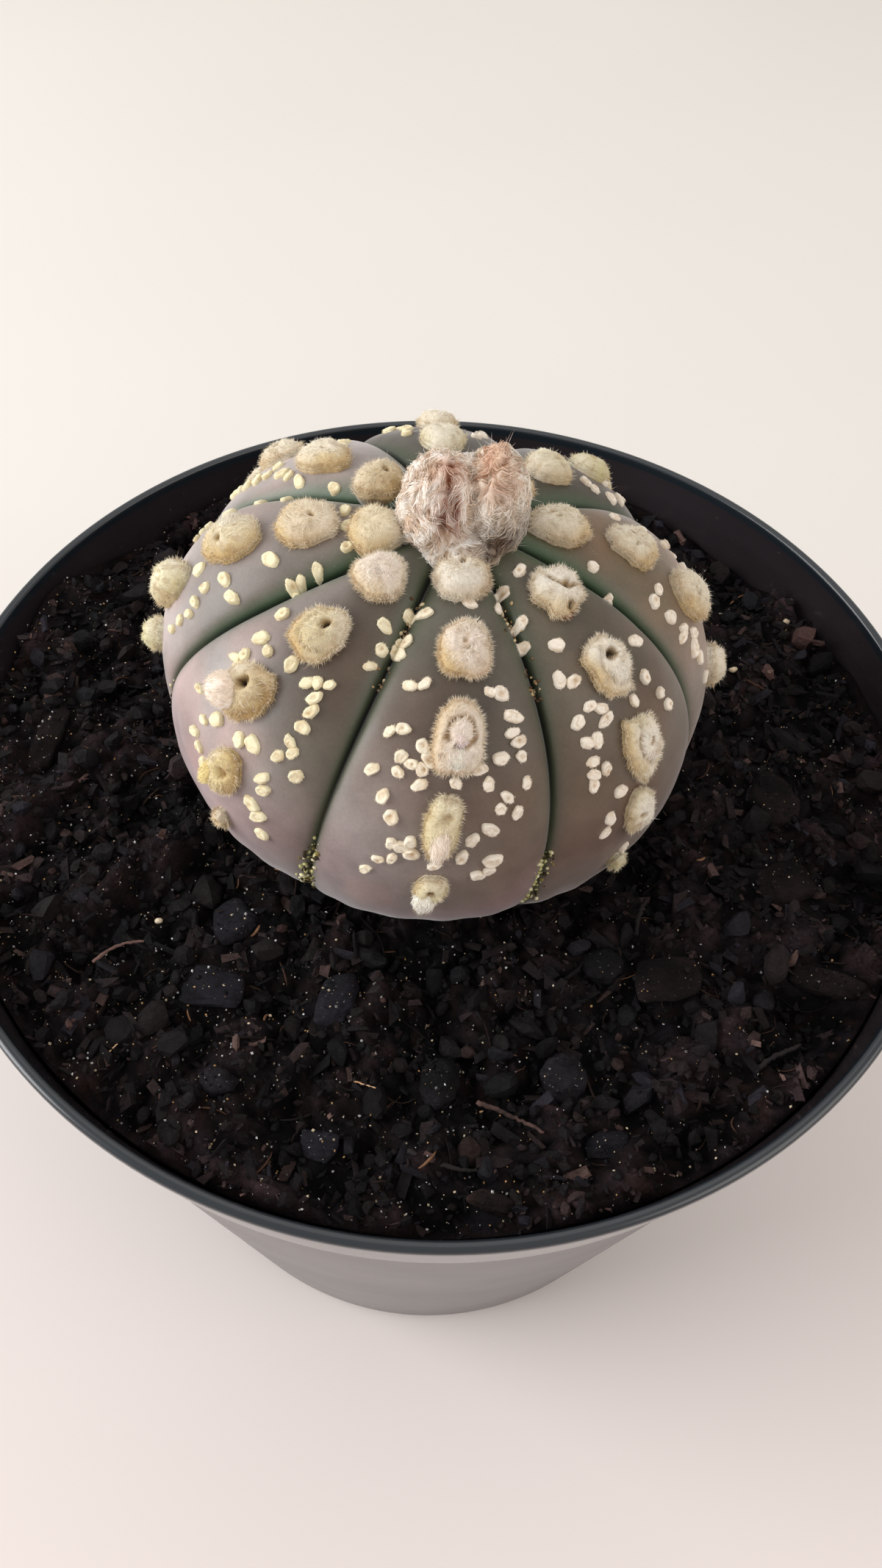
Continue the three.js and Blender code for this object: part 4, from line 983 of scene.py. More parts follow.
def fleck(cores, fuzz, lat, az):
    """A flat felted button, often with a shallow dimple, and short fuzz round its edge."""
    sp = Spot(lat, az)
    r = rng
    long = 0.64 + 0.23 * r.random() + (0.22 if r.random() < 0.18 else 0)
    wide = long * (0.64 + 0.20 * r.random())
    turn = r.random() * np.pi
    high = 0.27 + 0.12 * r.random()
    lean_a, lean_b = r.normal() * 0.10, r.normal() * 0.10
    yellow = smooth(np.array(270 - az if 90 < az < 290 else -20.0), -12, 42)
    base = blend(rgb(252, 244, 230), rgb(246, 239, 196), float(yellow) * 0.75)
    base = base * (0.95 + 0.07 * r.random())
    n_r, n_t = 6, 18
    rr = np.array([0.24, 0.44, 0.62, 0.78, 0.90, 1.0])
    th = 2 * np.pi * np.arange(n_t) / n_t
    ph = r.random(3) * 6.28

    def reach(th):
        return 1 + 0.06 * np.sin(2 * th + ph[0]) + 0.045 * np.sin(3 * th + ph[1]) + 0.05 * np.sin(5 * th + ph[2])

    R, E = np.meshgrid(rr, reach(th), indexing="ij")
    a, b = R * E * long * np.cos(th), R * E * wide * np.sin(th)
    ds, dt = r.normal() * 0.10, r.normal() * 0.10
    dimple = (0.07 + 0.10 * r.random()) * (r.random() < 0.4)

    def lift(a, b, R):
        g = np.exp(-(((a - ds) ** 2 + (b - dt) ** 2) / (0.30 * wide) ** 2))
        return high * (1 - np.minimum(R, 1) ** 6.5) ** 0.5 + 0.04 * np.exp(-(((R - 0.74) / 0.2) ** 2)) - dimple * g + lean_a * a + lean_b * b, g

    def place(a, b):
        return a * np.cos(turn) - b * np.sin(turn), a * np.sin(turn) + b * np.cos(turn)

    h, g = lift(a, b, R)
    s, t = place(a, b)
    q = np.stack([a.ravel(), b.ravel(), np.full(a.size, lat * 3.7 + az)], -1)
    crease = smooth(1 - np.abs(noise(q * [1, 1, 1], 0.62, 62)) * 3.2, 0.0, 1.0) * smooth(np.minimum(R, 1).ravel(), 0.0, 0.25)
    h = h.ravel() - 0.08 * crease + 0.03 * noise(q, 0.22, 63)
    pts = sp.at(s.ravel(), t.ravel(), h + 0.05, True)
    shade = 1 - 0.10 * smooth(R, 0.8, 1.0) - 0.05 * g * (dimple > 0)
    col = base * shade.reshape(-1, 1)
    col = blend(col, rgb(196, 160, 110), np.clip(0.75 * (g * (dimple > 0)).ravel() + 0.40 * crease, 0, 0.85))
    # Painted shade on the fleck's sides, going on from the edge shade above.
    for k, o in ((1.03, -0.05), (0.96, -0.5)):
        pts = np.concatenate([pts, sp.at(s[-1] * k, t[-1] * k, np.full(n_t, o), True)])
        col = np.concatenate([col, np.tile(base * 0.78, (n_t, 1))])
    first = cores.n
    cores.add(pts, grid_faces(n_r + 2, n_t), col)
    z = np.zeros(1)
    mid = blend(base * 0.96, rgb(196, 160, 110), 0.6 * float(dimple > 0))
    cores.add(sp.at(z, z, lift(z, z, z)[0] + 0.05, True), np.zeros((0, 3), int), mid)
    cores.also(fan_faces(cores.n - 1, first, n_t), 0)
    cores.add(sp.at(z, z, z - 0.8, True), np.zeros((0, 3), int), base * 0.7)
    cores.also(fan_faces(cores.n - 1, first + (n_r + 1) * n_t, n_t, False), 0)
    n = 44
    th = r.random(n) * 2 * np.pi
    q = np.where(r.random(n) < 0.62, 0.88 + 0.12 * r.random(n), r.random(n) ** 0.5)
    e = reach(th)
    a, b = q * e * long * np.cos(th), q * e * wide * np.sin(th)
    h, _ = lift(a, b, np.minimum(q, 1))
    s, t = place(a, b)
    root = sp.at(s, t, h * (0.4 + 0.6 * r.random(n)), True)
    ws, wt = place(np.cos(th), np.sin(th))
    way = sp.way(ws + r.normal(size=n) * 0.4, wt + r.normal(size=n) * 0.4, 0.10 + 0.35 * r.random(n))
    vary = (0.94 + 0.10 * r.random(n))[:, None]
    hairs(fuzz, root, way, 0.09 + 0.13 * r.random(n), 0.048, base * vary, np.clip(base * vary * 1.04, 0, 1))


# ------------------------------------------------------------------ crown wool
CROWN = [  # centre x, y, height above the lip, radii
    (-0.95, -0.5, H + 35.6, 4.45, 5.0, 6.0),
    (3.95, 0.5, H + 35.5, 3.55, 5.2, 6.4),
    (1.0, -0.3, H + 33.2, 5.4, 6.3, 3.6),
    (1.6, 0.8, H + 36.0, 2.4, 3.8, 4.6),
]


GAPS = ((-0.8, 37.9, 0.46, 1.5), (0.35, 38.7, 0.42, 1.3), (-0.3, 40.4, 0.42, 0.7))  # deep rusty gaps on the front of the left tuft


def crown_colour(p, ridge):
    """Creamy curls on the left tuft with rust in their gaps, salmon and rust slits on the right one's top. Paler on the
    locks and darker between them, as painted light and shade, and a painted shadow low on the right tuft.
    """
    x, y, z = p[:, 0], p[:, 1], p[:, 2] - H
    q = p * [1.0, 1.0, 0.35]
    streak = smooth(noise(q, 0.8, 201) + 0.4 * noise(q, 0.4, 202), 0.05, 0.55)
    right = smooth(x - 0.25 * np.clip(40.5 - z, 0, 4), 1.2, 2.4)
    white = blend(rgb(242, 220, 196), rgb(255, 254, 250), ridge)
    white = blend(white, rgb(216, 170, 130), 0.32 * streak)
    tan = blend(rgb(254, 240, 220), rgb(255, 254, 248), ridge)
    tan = blend(tan, rgb(214, 172, 130), 0.16 * streak)
    c = blend(white, tan, right * 0.92)
    top = smooth(z + 0.9 * noise(p, 1.6, 203) - 0.25 * y, 39.5, 42.0)
    salmon = blend(rgb(206, 150, 112), rgb(242, 208, 178), ridge)
    salmon = blend(salmon, rgb(164, 94, 58), 0.6 * streak)
    c = blend(c, salmon, right * top * 0.86)
    patch = np.exp(-(((x + 0.5) / 1.3) ** 2 + ((y + 1.2) / 1.3) ** 2)) * smooth(z, 39.2, 40.8)
    c = blend(c, blend(rgb(182, 106, 68), rgb(230, 178, 142), ridge), (1 - right) * patch * 0.74)
    warm = np.exp(-(((x + 0.9) / 2.6) ** 2 + ((z - 38.9) / 1.7) ** 2)) * (y < 0)
    c = blend(c, rgb(216, 162, 120), 0.40 * warm * (1 - 0.6 * ridge))
    for gx, gz, w, tall in GAPS:
        g = np.exp(-(((x - gx) / w) ** 2) - (((z - gz) / tall) ** 2)) * (y < 1.0)
        c = blend(c, rgb(146, 82, 50), np.clip(g * 1.2, 0, 0.94))
    low = (1 - smooth(z, 31.5, 35.0)) * right
    c = blend(c, rgb(206, 166, 104), 0.6 * low)
    shadow = np.exp(-(((x - 4.8) / 2.9) ** 2 + ((z - 35.0) / 2.1) ** 2)) * (y < 1.0)
    return blend(c, rgb(92, 60, 29), 0.92 * shadow)


def ridges(p):
    """Locks of wool that run down and round: 1 on top of a lock, 0 between locks."""
    w = p + 0.8 * np.stack([noise(p, 2.0, 91), noise(p, 2.0, 92), noise(p, 2.0, 93)], -1)
    w = w * [1.0, 1.0, 0.45]
    n = noise(w, 0.85, 94)
    return np.clip(1 - np.abs(n) * 1.9, 0, 1) ** 0.7


def crown_swell(p, rd):
    """How far the wool stands out of its plain rounded shape, as a share of it."""
    swell = 0.90 + 0.05 * fbm(p, 3.0, 2, 51) + 0.09 * rd + 0.02 * noise(p, 0.6, 55)
    for gx, gz, w, tall in GAPS:
        g = np.exp(-(((p[:, 0] - gx) / w) ** 2) - (((p[:, 2] - H - gz) / tall) ** 2)) * (p[:, 1] < 1.0)
        swell = swell - 0.15 * g
    return swell


def crown(cores, fuzz):
    v, f = ball(5)
    shapes = []
    for i, (x, y, z, a, b, c) in enumerate(CROWN):
        p = np.array([x, y, z]) + v * [a, b, c]
        rd = ridges(p)
        q = np.array([x, y, z]) + v * np.array([a, b, c]) * (crown_swell(p, rd) - 0.012)[:, None]
        # Painted shade between the locks of the wool mass.
        cores.add(q, f, crown_colour(q, rd) * (0.80 + 0.20 * rd)[:, None])
        shapes.append((np.array([x, y, z]), np.array([a, b, c])))
    # Fibres that lie along the wool in wavy locks.
    for i, (o, r) in enumerate(shapes):
        n = (2600, 2500, 900, 1500)[i]
        d = unit(rng.normal(size=(n * 2, 3)))
        d = d[d[:, 2] > (-0.8, -0.8, -0.3, 0.1)[i]][:n]
        p = o + d * r
        inside = np.zeros(len(p), bool)
        for j, (o2, r2) in enumerate(shapes):
            if j != i:
                inside |= ((((p - o2) / r2) ** 2).sum(1) < 0.86)
        at = p[~inside]
        m = len(at)
        rd = ridges(at)
        # Painted shade between the locks on the fibres too.
        vary = (1.0 + 0.12 * noise(at * [1, 1, 0.5], 0.42, 75) + 0.03 * rng.normal(size=m)) * (0.85 + 0.22 * rd)
        c = crown_colour(at, rd) * vary[:, None]
        long = 0.9 + 1.5 * rng.random(m)
        own = 0.25 * rng.normal(size=m)
        rise = 0.6 + 0.8 * rng.random(m)
        line = []
        for lift in (-0.08, 0.12, 0.17, 0.08):
            out = unit((at - o) / r**2)
            line.append(o + (at - o) * crown_swell(at, ridges(at))[:, None] + out * (lift * rise)[:, None])
            down = unit(np.array([0, 0, -1.0]) - out * (out @ np.array([0, 0, -1.0]))[:, None])
            side = np.cross(out, down)
            turn = 1.9 * noise(at, 2.3, 71) + 1.3 * noise(at, 0.9, 72) + own
            at = at + (down * np.cos(turn)[:, None] + side * np.sin(turn)[:, None]) * (long / 3)[:, None]
            q = (at - o) / r
            at = o + q / np.linalg.norm(q, axis=1)[:, None] * r
        strands(fuzz, np.stack(line, 1), 0.07 + 0.055 * rng.random(m), np.clip(c * 0.93, 0, 1), np.clip(blend(c, IVORY, 0.22 * smooth(c.mean(1), 0.12, 0.5)) * 1.02, 0, 1))
    # Short fuzz that stands off the outline, with a few longer threads.
    for o, r in shapes[:2]:
        n = 1300
        d = unit(rng.normal(size=(n, 3)))
        d = d[d[:, 2] > -0.6]
        n = len(d)
        p = o + d * r
        p = o + d * r * crown_swell(p, ridges(p))[:, None]
        c = crown_colour(p, np.full(n, 0.9))
        out = unit(d / r)
        way = out * 0.6 + rng.normal(size=(n, 3)) * 0.55
        long = np.where(rng.random(n) < 0.10, 0.7 + 0.8 * rng.random(n), 0.18 + 0.36 * rng.random(n))
        hairs(fuzz, p, way, long, 0.045, np.clip(c * 0.97, 0, 1), np.clip(c * 1.05, 0, 1), rng.normal(size=(n, 3)) * 0.35, 2)


# ------------------------------------------------------------------ cork in the grooves
def corks(s):
    v, f = ball(1)
    foot = (rgb(190, 184, 130), rgb(222, 214, 176), rgb(128, 116, 70), rgb(60, 52, 34))
    upper = (rgb(220, 202, 164), rgb(150, 120, 86), rgb(98, 76, 56), rgb(204, 178, 134))
    for groove, lat0, lat1, n, cols in (
        (6, 76, 106, 150, foot), (7, 80, 108, 120, foot), (7, 14, 37, 64, upper), (6, 16, 36, 56, upper),
        (5, 84, 112, 54, foot), (0, 84, 112, 54, foot), (1, 86, 112, 40, foot), (2, 86, 112, 40, foot), (3, 86, 112, 40, foot), (4, 86, 112, 40, foot),
    ):
        knots = lat0 + (lat1 - lat0) * rng.random(7)
        for _ in range(n):
            lat = np.clip(knots[rng.integers(7)] + rng.normal() * 1.9, lat0, lat1)
            rho = float(meridian(np.array(lat))[0])
            x = rng.normal() * (0.40 if cols is foot else 0.30)
            az = GROOVES[groove] + math.degrees(x / rho)
            o = skin(np.array([lat]), np.array([az]), np.array([0.04]))[0]
            size = 0.10 + (0.26 if cols is foot else 0.18) * rng.random() ** 1.6
            q = v * rock(v, rng, 8, 7, 0.4)[:, None] * size * [1.0, 0.8, 0.45 + 0.5 * rng.random()]
            q = q @ spin(1, rng)[0].T
            c = cols[rng.integers(4)] * (0.75 + 0.45 * rng.random())
            s.add(o + q, f, c)
            if cols is upper:
                out = unit(o - C0)
                hairs(s, np.tile(o, (5, 1)), out * 0.7 + rng.normal(size=(5, 3)) * 0.7, 0.22 + 0.22 * rng.random(5), 0.05, c, np.clip(c * 1.1, 0, 1))


# ------------------------------------------------------------------ soil
def hump(x, y, cx, cy, r, h):
    return h * np.exp(-((x - cx) ** 2 + (y - cy) ** 2) / (r * r))


def soil_top(x, y):
    return (
        H - 5.4
        + hump(x, y, 0, 0, 24, 1.6) - 0.018 * x - 0.01 * y
        + hump(x, y, -52, 23, 7, 2.8) - hump(x, y, -40, 37, 7, 2.2) - hump(x, y, 40, 40, 10, 2.0)
        + 0.45 * np.sin(0.31 * x + 0.9) * np.cos(0.27 * y - 0.4)
        + 0.25 * np.sin(0.63 * x - 0.5 * y + 1.7)
    )


WALL_TOP, WALL_FOOT = 57.6, 45.4


def wall_radius(z):
    return WALL_FOOT + (WALL_TOP - WALL_FOOT) * (z - 1.2) / (H - 11.3 - 0.8 - 1.2)


INSIDE = [(57.9, H - 1.5), (57.35, H - 11.3), (wall_radius(H - 13) - 1.3, H - 13), (wall_radius(5) - 1.3, 5), (wall_radius(5) - 2.4, 3.4)]


def inside_radius(z):
    return np.interp(z, [p[1] for p in INSIDE][::-1], [p[0] for p in INSIDE][::-1])


def soil_relief(x, y):
    """Crumbs in the surface itself, in mm, and a grey for its colour."""
    a, _, own = cells(x + 0.4 * np.sin(y), y + 0.4 * np.cos(x), 2.7, 3)
    b, _, own2 = cells(x + 0.2 * np.sin(2.3 * y), y, 1.25, 9)
    e, _, own3 = cells(x, y, 0.72, 12)
    crumb = (1 - np.clip(a / 1.7, 0, 1) ** 2) ** 0.5 * (0.15 + 0.95 * own)
    small = (1 - np.clip(b / 0.8, 0, 1) ** 2) ** 0.5 * (0.10 + 0.42 * own2)
    tiny = (1 - np.clip(e / 0.5, 0, 1) ** 2) ** 0.5 * (0.04 + 0.24 * own3)
    p = np.stack([x, y, x * 0], -1)
    k, _, own4 = cells(x + 0.9 * np.sin(0.7 * y), y + 0.9 * np.cos(0.8 * x), 5.6, 5)
    clod = (1 - np.clip(k / 3.4, 0, 1) ** 2) ** 0.5 * (0.1 + 1.1 * own4)
    j, _, own5 = cells(x + 1.6 * np.sin(0.4 * y + 1), y + 1.6 * np.cos(0.5 * x), 9.5, 6)
    big = (1 - np.clip(j / 5.6, 0, 1) ** 2) ** 0.5 * own5 * (0.7 + 0.8 * smooth(-x, -25, 30))
    lift = 1.4 * clod + 1.3 * big + crumb + small + tiny + 1.3 * fbm(p, 8, 3, 31) - 1.75
    # Flatter where a chip or a stone lies bedded in.
    for spec in NUGGETS:
        c, s = math.cos(math.radians(spec[7])), math.sin(math.radians(spec[7]))
        u, v = (x - spec[2]) * c + (y - spec[3]) * s, (y - spec[3]) * c - (x - spec[2]) * s
        near = smooth((u / (0.5 * spec[4])) ** 2 + (v / (0.5 * spec[5])) ** 2, 2.1, 0.8)
        lift = lift * (1 - near) + (0.3 * lift - 0.05) * near
    return lift, 0.4 * own + 0.35 * own2 + 0.25 * own3


def painted_soil_light(x, y):
    """Painted light on the soil: paler towards the right, where the fill lamp falls, and along the wall, against the
    shade under the lip.
    """
    return 1 + 0.9 * smooth(np.hypot(x, y), 53.6, 56.4), smooth(x, 10, 45)


def soil_piece():
    s = Soup()
    ring_r = np.concatenate([[8.0, 13.0, 16.5], np.arange(18.5, 56.9, 0.60)])
    n = 432
    a = 2 * np.pi * np.arange(n) / n
    R, A = np.meshgrid(ring_r, a, indexing="ij")
    x, y = (R * np.cos(A)).ravel(), (R * np.sin(A)).ravel()
    jitter = 0.16
    x = x + jitter * noise(np.stack([x, y, x * 0], -1), 0.7, 2)
    y = y + jitter * noise(np.stack([x, y, x * 0], -1), 0.7, 4)
    lift, g = soil_relief(x, y)
    z = soil_top(x, y) + lift * smooth(R.ravel(), 16, 20)
    dark, pale = rgb(2, 2, 2), rgb(50, 41, 42)
    # Painted light and shade: lump tops paler, hollows near black.
    c = blend(dark, pale, np.clip(1.2 * g * smooth(lift, -0.7, 1.7), 0, 1))
    c = blend(c, rgb(40, 29, 24), 0.4 * smooth(noise(np.stack([x, y, z], -1), 1.4, 37), 0.25, 0.8))
    c = blend(c, rgb(27, 27, 32), 0.5 * smooth(noise(np.stack([x, y, z], -1), 1.9, 39), 0.2, 0.7))
    p = np.stack([x, y, z], -1)
    edge, side = painted_soil_light(x, y)
    # Painted light towards the right and along the wall.
    c = c * (edge * (1 + 0.45 * side))[:, None]
    s.add(p, grid_faces(len(ring_r), n), c)
    s.add([[0, 0, soil_top(0, 0)]], np.zeros((0, 3), int), dark)
    s.also(fan_faces(s.n - 1, 0, n), 0)
    # The outside of the root ball, rough, against the wall, and its underside.
    first_row = (len(ring_r) - 1) * n
    rows = []
    z_top = soil_top(57 * np.cos(a), 57 * np.sin(a)) - 0.2
    rows.append(np.stack([(inside_radius(z_top) - 0.35) * np.cos(a), (inside_radius(z_top) - 0.35) * np.sin(a), z_top], -1))
    for z in (H - 9, H - 11.3, H - 13.2, 80, 70, 60, 50, 40, 30, 20, 12, 5.2):
        r = (wall_radius(z) - 1.3 if z < H - 12 else 57.35) - 0.35
        p = np.stack([r * np.cos(a), r * np.sin(a), np.full(n, z)], -1)
        r = r - 0.25 - 0.25 * noise(p, 2.0, 41)
        rows.append(np.stack([r * np.cos(a), r * np.sin(a), np.full(n, z)], -1))
    for r, z in ((42.3, 3.75), (38, 3.75), (33, 3.75), (28, 3.75), (22, 3.75), (12.8, 3.75), (11, 1.95)):
        p = np.stack([r * np.cos(a), r * np.sin(a), np.full(n, float(z))], -1)
        p[:, 2] += 0.22 + 0.22 * noise(p, 1.6, 43)
        rows.append(p)
    side = np.concatenate(rows)
    base = s.n
    c = blend(dark, pale, 0.5 + 0.5 * noise(side, 1.7, 47))
    s.add(side, grid_faces(len(rows), n), c)
    j = np.arange(n)
    k = (j + 1) % n
    s.also(np.stack([first_row + j, base + j, base + k, first_row + k], 1), 0)
    s.add([[0, 0, 2.1]], np.zeros((0, 3), int), dark)
    s.also(fan_faces(s.n - 1, base + (len(rows) - 1) * n, n, False), 0)
    return s


def under_plant(x, y, z):
    """True where a point would be in the cactus."""
    q = np.stack([x, y, z], -1) - C0
    h = q @ AXIS
    r = np.linalg.norm(q - h[:, None] * AXIS, axis=1)
    top = np.where(h >= 0, BODY_UP, BODY_DOWN)
    return (np.abs(h / top) ** SQUARE + (r / (BODY_R + 0.2)) ** SQUARE) < 1.0


NUGGETS = [
    ("bark_chip_flat", "slate", -23.5, -32.6, 9.4, 5.4, 2.4, 5, 6, 0.5, 1),
    ("bark_chip_upright", "slate", -9.9, -33.2, 7.0, 4.6, 2.6, 82, 8, 0.6, 2),
    ("bark_chip_side", "slate", -22.0, -24.4, 6.2, 5.0, 2.4, 40, -5, 0.5, 3),
    ("bark_chip_front", "slate", -10.4, -49.0, 5.0, 4.2, 2.0, -30, 4, 0.5, 4),
    ("bark_chip_right_front", "slate", 18.2, -47.4, 5.0, 3.0, 1.8, 8, 5, 0.4, 5),
    ("bark_chip_brown", "bark", 26.0, -28.6, 9.6, 5.8, 2.6, 24, 5, 0.5, 6),
    ("bark_chip_long", "bark", 44.2, -28.4, 9.6, 4.0, 2.0, -16, 4, 0.4, 7),
    ("bark_chip_right", "bark", 41.0, -15.2, 7.6, 7.0, 2.8, 30, -4, 0.7, 8),
    ("bark_chip_far_right", "bark", 40.6, -3.4, 8.0, 7.4, 3.0, 75, 5, 0.8, 9),
    ("bark_lump_left", "bark", -48.6, -0.5, 11.0, 4.6, 3.2, 84, 0, 0.8, 10),
    ("bark_chip_rusty", "rust", 6.7, -53.8, 5.0, 2.6, 1.8, -12, 4, 0.4, 11),
    ("pebble_oval", "pebble", 1.3, -42.0, 6.0, 4.6, 3.2, 82, 0, 0.9, 12),
    ("pebble_right", "pebble", 18.9, -27.6, 4.8, 4.5, 3.0, 20, 0, 0.8, 13),
    ("pebble_middle", "pebble", 14.2, -40.6, 6.0, 5.0, 3.0, 78, 0, 0.9, 14),
    ("pebble_small", "pebble", 36.2, -30.9, 3.1, 2.6, 2.2, 90, 0, 0.5, 15),
    ("pebble_pair_left", "pebble", -21.3, -43.0, 4.4, 3.4, 2.8, -30, 0, 0.7, 16),
    ("grain_pale_left", "grain", -30.6, -24.8, 1.5, 1.2, 1.2, 10, 0, 0.1, 17),
    ("grain_pale_back", "grain", 47.0, 27.5, 1.9, 1.6, 1.5, 40, 0, 0.1, 18),
    ("grain_pale_right", "grain", 38.5, 17.9, 2.2, 1.4, 1.4, 15, 0, 0.1, 19),
]
TWIGS = [
    ("twig_front", "twig", 8.6, -45.4, 7.4, 0.55, -22, 0.5, 0.4),
    ("twig_dark", "twig_dark", 2.0, -50.0, 7.4, 0.5, -14, 0.3, -0.5),
    ("twig_right", "twig_dark", 37.0, -37.4, 6.2, 0.55, 30, 0.4, 0.3),
    ("twig_upright", "twig_dark", 23.4, -21.6, 4.6, 0.5, 72, 0.8, 0.3),
    ("root_strand_left", "twig", -34.2, -29.0, 5.8, 0.45, 24, 0.5, 0.7),
    ("straw_left", "straw", -33.0, -40.6, 2.6, 0.28, 53, 0.2, 0),
    ("straw_front", "straw", -6.4, -42.4, 2.6, 0.28, -20, 0.2, 0),
]


def nugget(spec, material, slot):
    name, kind, x, y, long, wide, thick, turn, tilt, sunk, seed = spec
    r = np.random.default_rng(100 + seed)
    v, f = ball(2 if kind == "grain" else 4)
    if kind in ("slate", "bark", "rust"):
        reach = rock(v, r, 11, 11, 0.22)
        reach = reach / np.percentile(reach, 90)
        q = v * reach[:, None]
        # Flattened, with broken edges and a few layers.
        q = np.sign(q) * np.abs(q) ** np.array([0.86, 0.86, 0.80])
        q = q * [long / 2, wide / 2, thick / 2]
        q = q + unit(v) * (0.30 * fbm(q + seed * 7, 2.2, 3, 5) + 0.14 * noise(q * [0.5, 2.2, 3.0] + seed * 3, 0.7, 7) - 0.12)[:, None]
    else:
        reach = 0.92 + 0.15 * noise(v * 1.7 + seed, 1.0, 3) + 0.08 * noise(v * 4 + seed, 1.0, 4) + 0.035 * noise(v * 10 + seed, 1.0, 4)
        q = v * reach[:, None] * [long / 2, wide / 2, thick / 2]
    if kind == "grain":
        q = q * 0.62
    q = np.clip(q, [-long / 2, -wide / 2, -thick / 2], [long / 2, wide / 2, thick / 2])
    ct, st = math.cos(math.radians(tilt)), math.sin(math.radians(tilt))
    q = q @ np.array([[1, 0, 0], [0, ct, -st], [0, st, ct]]).T
    ct, st = math.cos(math.radians(turn)), math.sin(math.radians(turn))
    q = q @ np.array([[ct, -st, 0], [st, ct, 0], [0, 0, 1]]).T
    q = q + [x, y, float(soil_top(x, y)) + thick / 2 - sunk - thick * 0.2]
    s = Soup()
    s.add(q, f, (1, 1, 1))
    return s.make(name + "_piece", material, slot, True, [name])


def tube(s, line, radius, colours, sides=7, taper=None):
    """A tube along a line of points, closed at both ends."""
    line = np.asarray(line, float)
    n = len(line)
    d = unit(np.gradient(line, axis=0))
    a, _ = frames(d[:1])
    a = a[0]
    rows = []
    for i in range(n):
        a = unit(a - d[i] * (a @ d[i]))
        b = np.cross(d[i], a)
        r = radius * (taper[i] if taper is not None else 1)
        th = 2 * np.pi * np.arange(sides) / sides
        rows.append(line[i] + r * (np.cos(th)[:, None] * a + np.sin(th)[:, None] * b))
    first = s.n
    cols = np.repeat(np.broadcast_to(colours, (n, 3)), sides, 0)
    s.add(np.concatenate(rows), grid_faces(n, sides)[:, ::-1], cols)
    s.add(line[[0, -1]], np.zeros((0, 3), int), np.broadcast_to(colours, (n, 3))[[0, -1]])
    s.also(fan_faces(s.n - 2, first, sides, False), 0)
    s.also(fan_faces(s.n - 1, first + (n - 1) * sides, sides, True), 0)


def twig(spec, material, slot):
    name, kind, x, y, long, radius, turn, rise, bend = spec
    r = np.random.default_rng(int(abs(x * 31 + y * 17)))
    c, sn = math.cos(math.radians(turn)), math.sin(math.radians(turn))
    t = np.linspace(-long / 2, long / 2, 22)
    side = bend * (1 - (2 * t / long) ** 2) + 0.10 * radius * r.normal(size=22)
    px, py = x + c * t - sn * side, y + sn * t + c * side
    ends = [0, 11, 21]
    z = np.interp(t, t[ends], [soil_top(px[i], py[i]) for i in ends]) + radius * 0.5 + rise * (t + long / 2) / long
    knots = 1 + 0.12 * r.normal(size=22)
    knots[0] *= 0.75
    knots[-1] *= 0.7
    s = Soup()
    thin = {"straw": 0.36, "twig": 0.5, "twig_dark": 0.62}[kind]
    taper = np.clip(knots, 0.6, 1.08) * (1 - 0.35 * np.linspace(0, 1, 22))
    tube(s, np.stack([px, py, z], -1), radius * thin, (1, 1, 1), 10, taper)
    return s.make(name + "_piece", material, slot, True, [name])


def gem():
    """Vertices and triangles of an octahedron, for the smallest crumbs."""
    v = np.array([[1, 0, 0], [-1, 0, 0], [0, 1, 0], [0, -1, 0], [0, 0, 1], [0, 0, -1]], float)
    f = [[0, 2, 4], [2, 1, 4], [1, 3, 4], [3, 0, 4], [2, 0, 5], [1, 2, 5], [3, 1, 5], [0, 3, 5]]
    return v, np.array(f)


def on_nuggets(x, y, z):
    """z, or the top of the chip or stone that lies there."""
    for _, kind, cx, cy, long, wide, thick, turn, _, sunk, _ in NUGGETS:
        c, s = math.cos(math.radians(turn)), math.sin(math.radians(turn))
        a, b = (x - cx) * c + (y - cy) * s, (y - cy) * c - (x - cx) * s
        q = (a / (0.46 * long)) ** 2 + (b / (0.46 * wide)) ** 2
        top = float(soil_top(cx, cy)) + thick * 0.3 - sunk + 0.46 * thick * np.sqrt(np.clip(1 - q, 0, 1))
        z = np.where((q < 0.85) & (kind != "grain"), np.maximum(z, top), z)
    return z


def strewn(n, near, lo, hi, power, room=True):
    """Places and sizes for n loose bits on the soil."""
    rad = 19.5 + (57.2 - 19.5) * rng.random(n * 3) ** near
    th = rng.random(n * 3) * 2 * np.pi
    x, y = rad * np.cos(th), rad * np.sin(th)
    size = lo + (hi - lo) * rng.random(n * 3) ** power
    lift, _ = soil_relief(x, y)
    z = soil_top(x, y) + lift
    z = (z if room else on_nuggets(x, y, z)) + size * (0.05 + 0.40 * rng.random(n * 3))
    ok = ~under_plant(x, y, z + size) & (rad + size < inside_radius(z) - 0.1)
    if room:
        for spec in NUGGETS:
            ok &= np.hypot(x - spec[2], y - spec[3]) > 0.36 * max(spec[4], spec[5]) + size * 0.5
    return x[ok][:n], y[ok][:n], z[ok][:n], size[ok][:n]


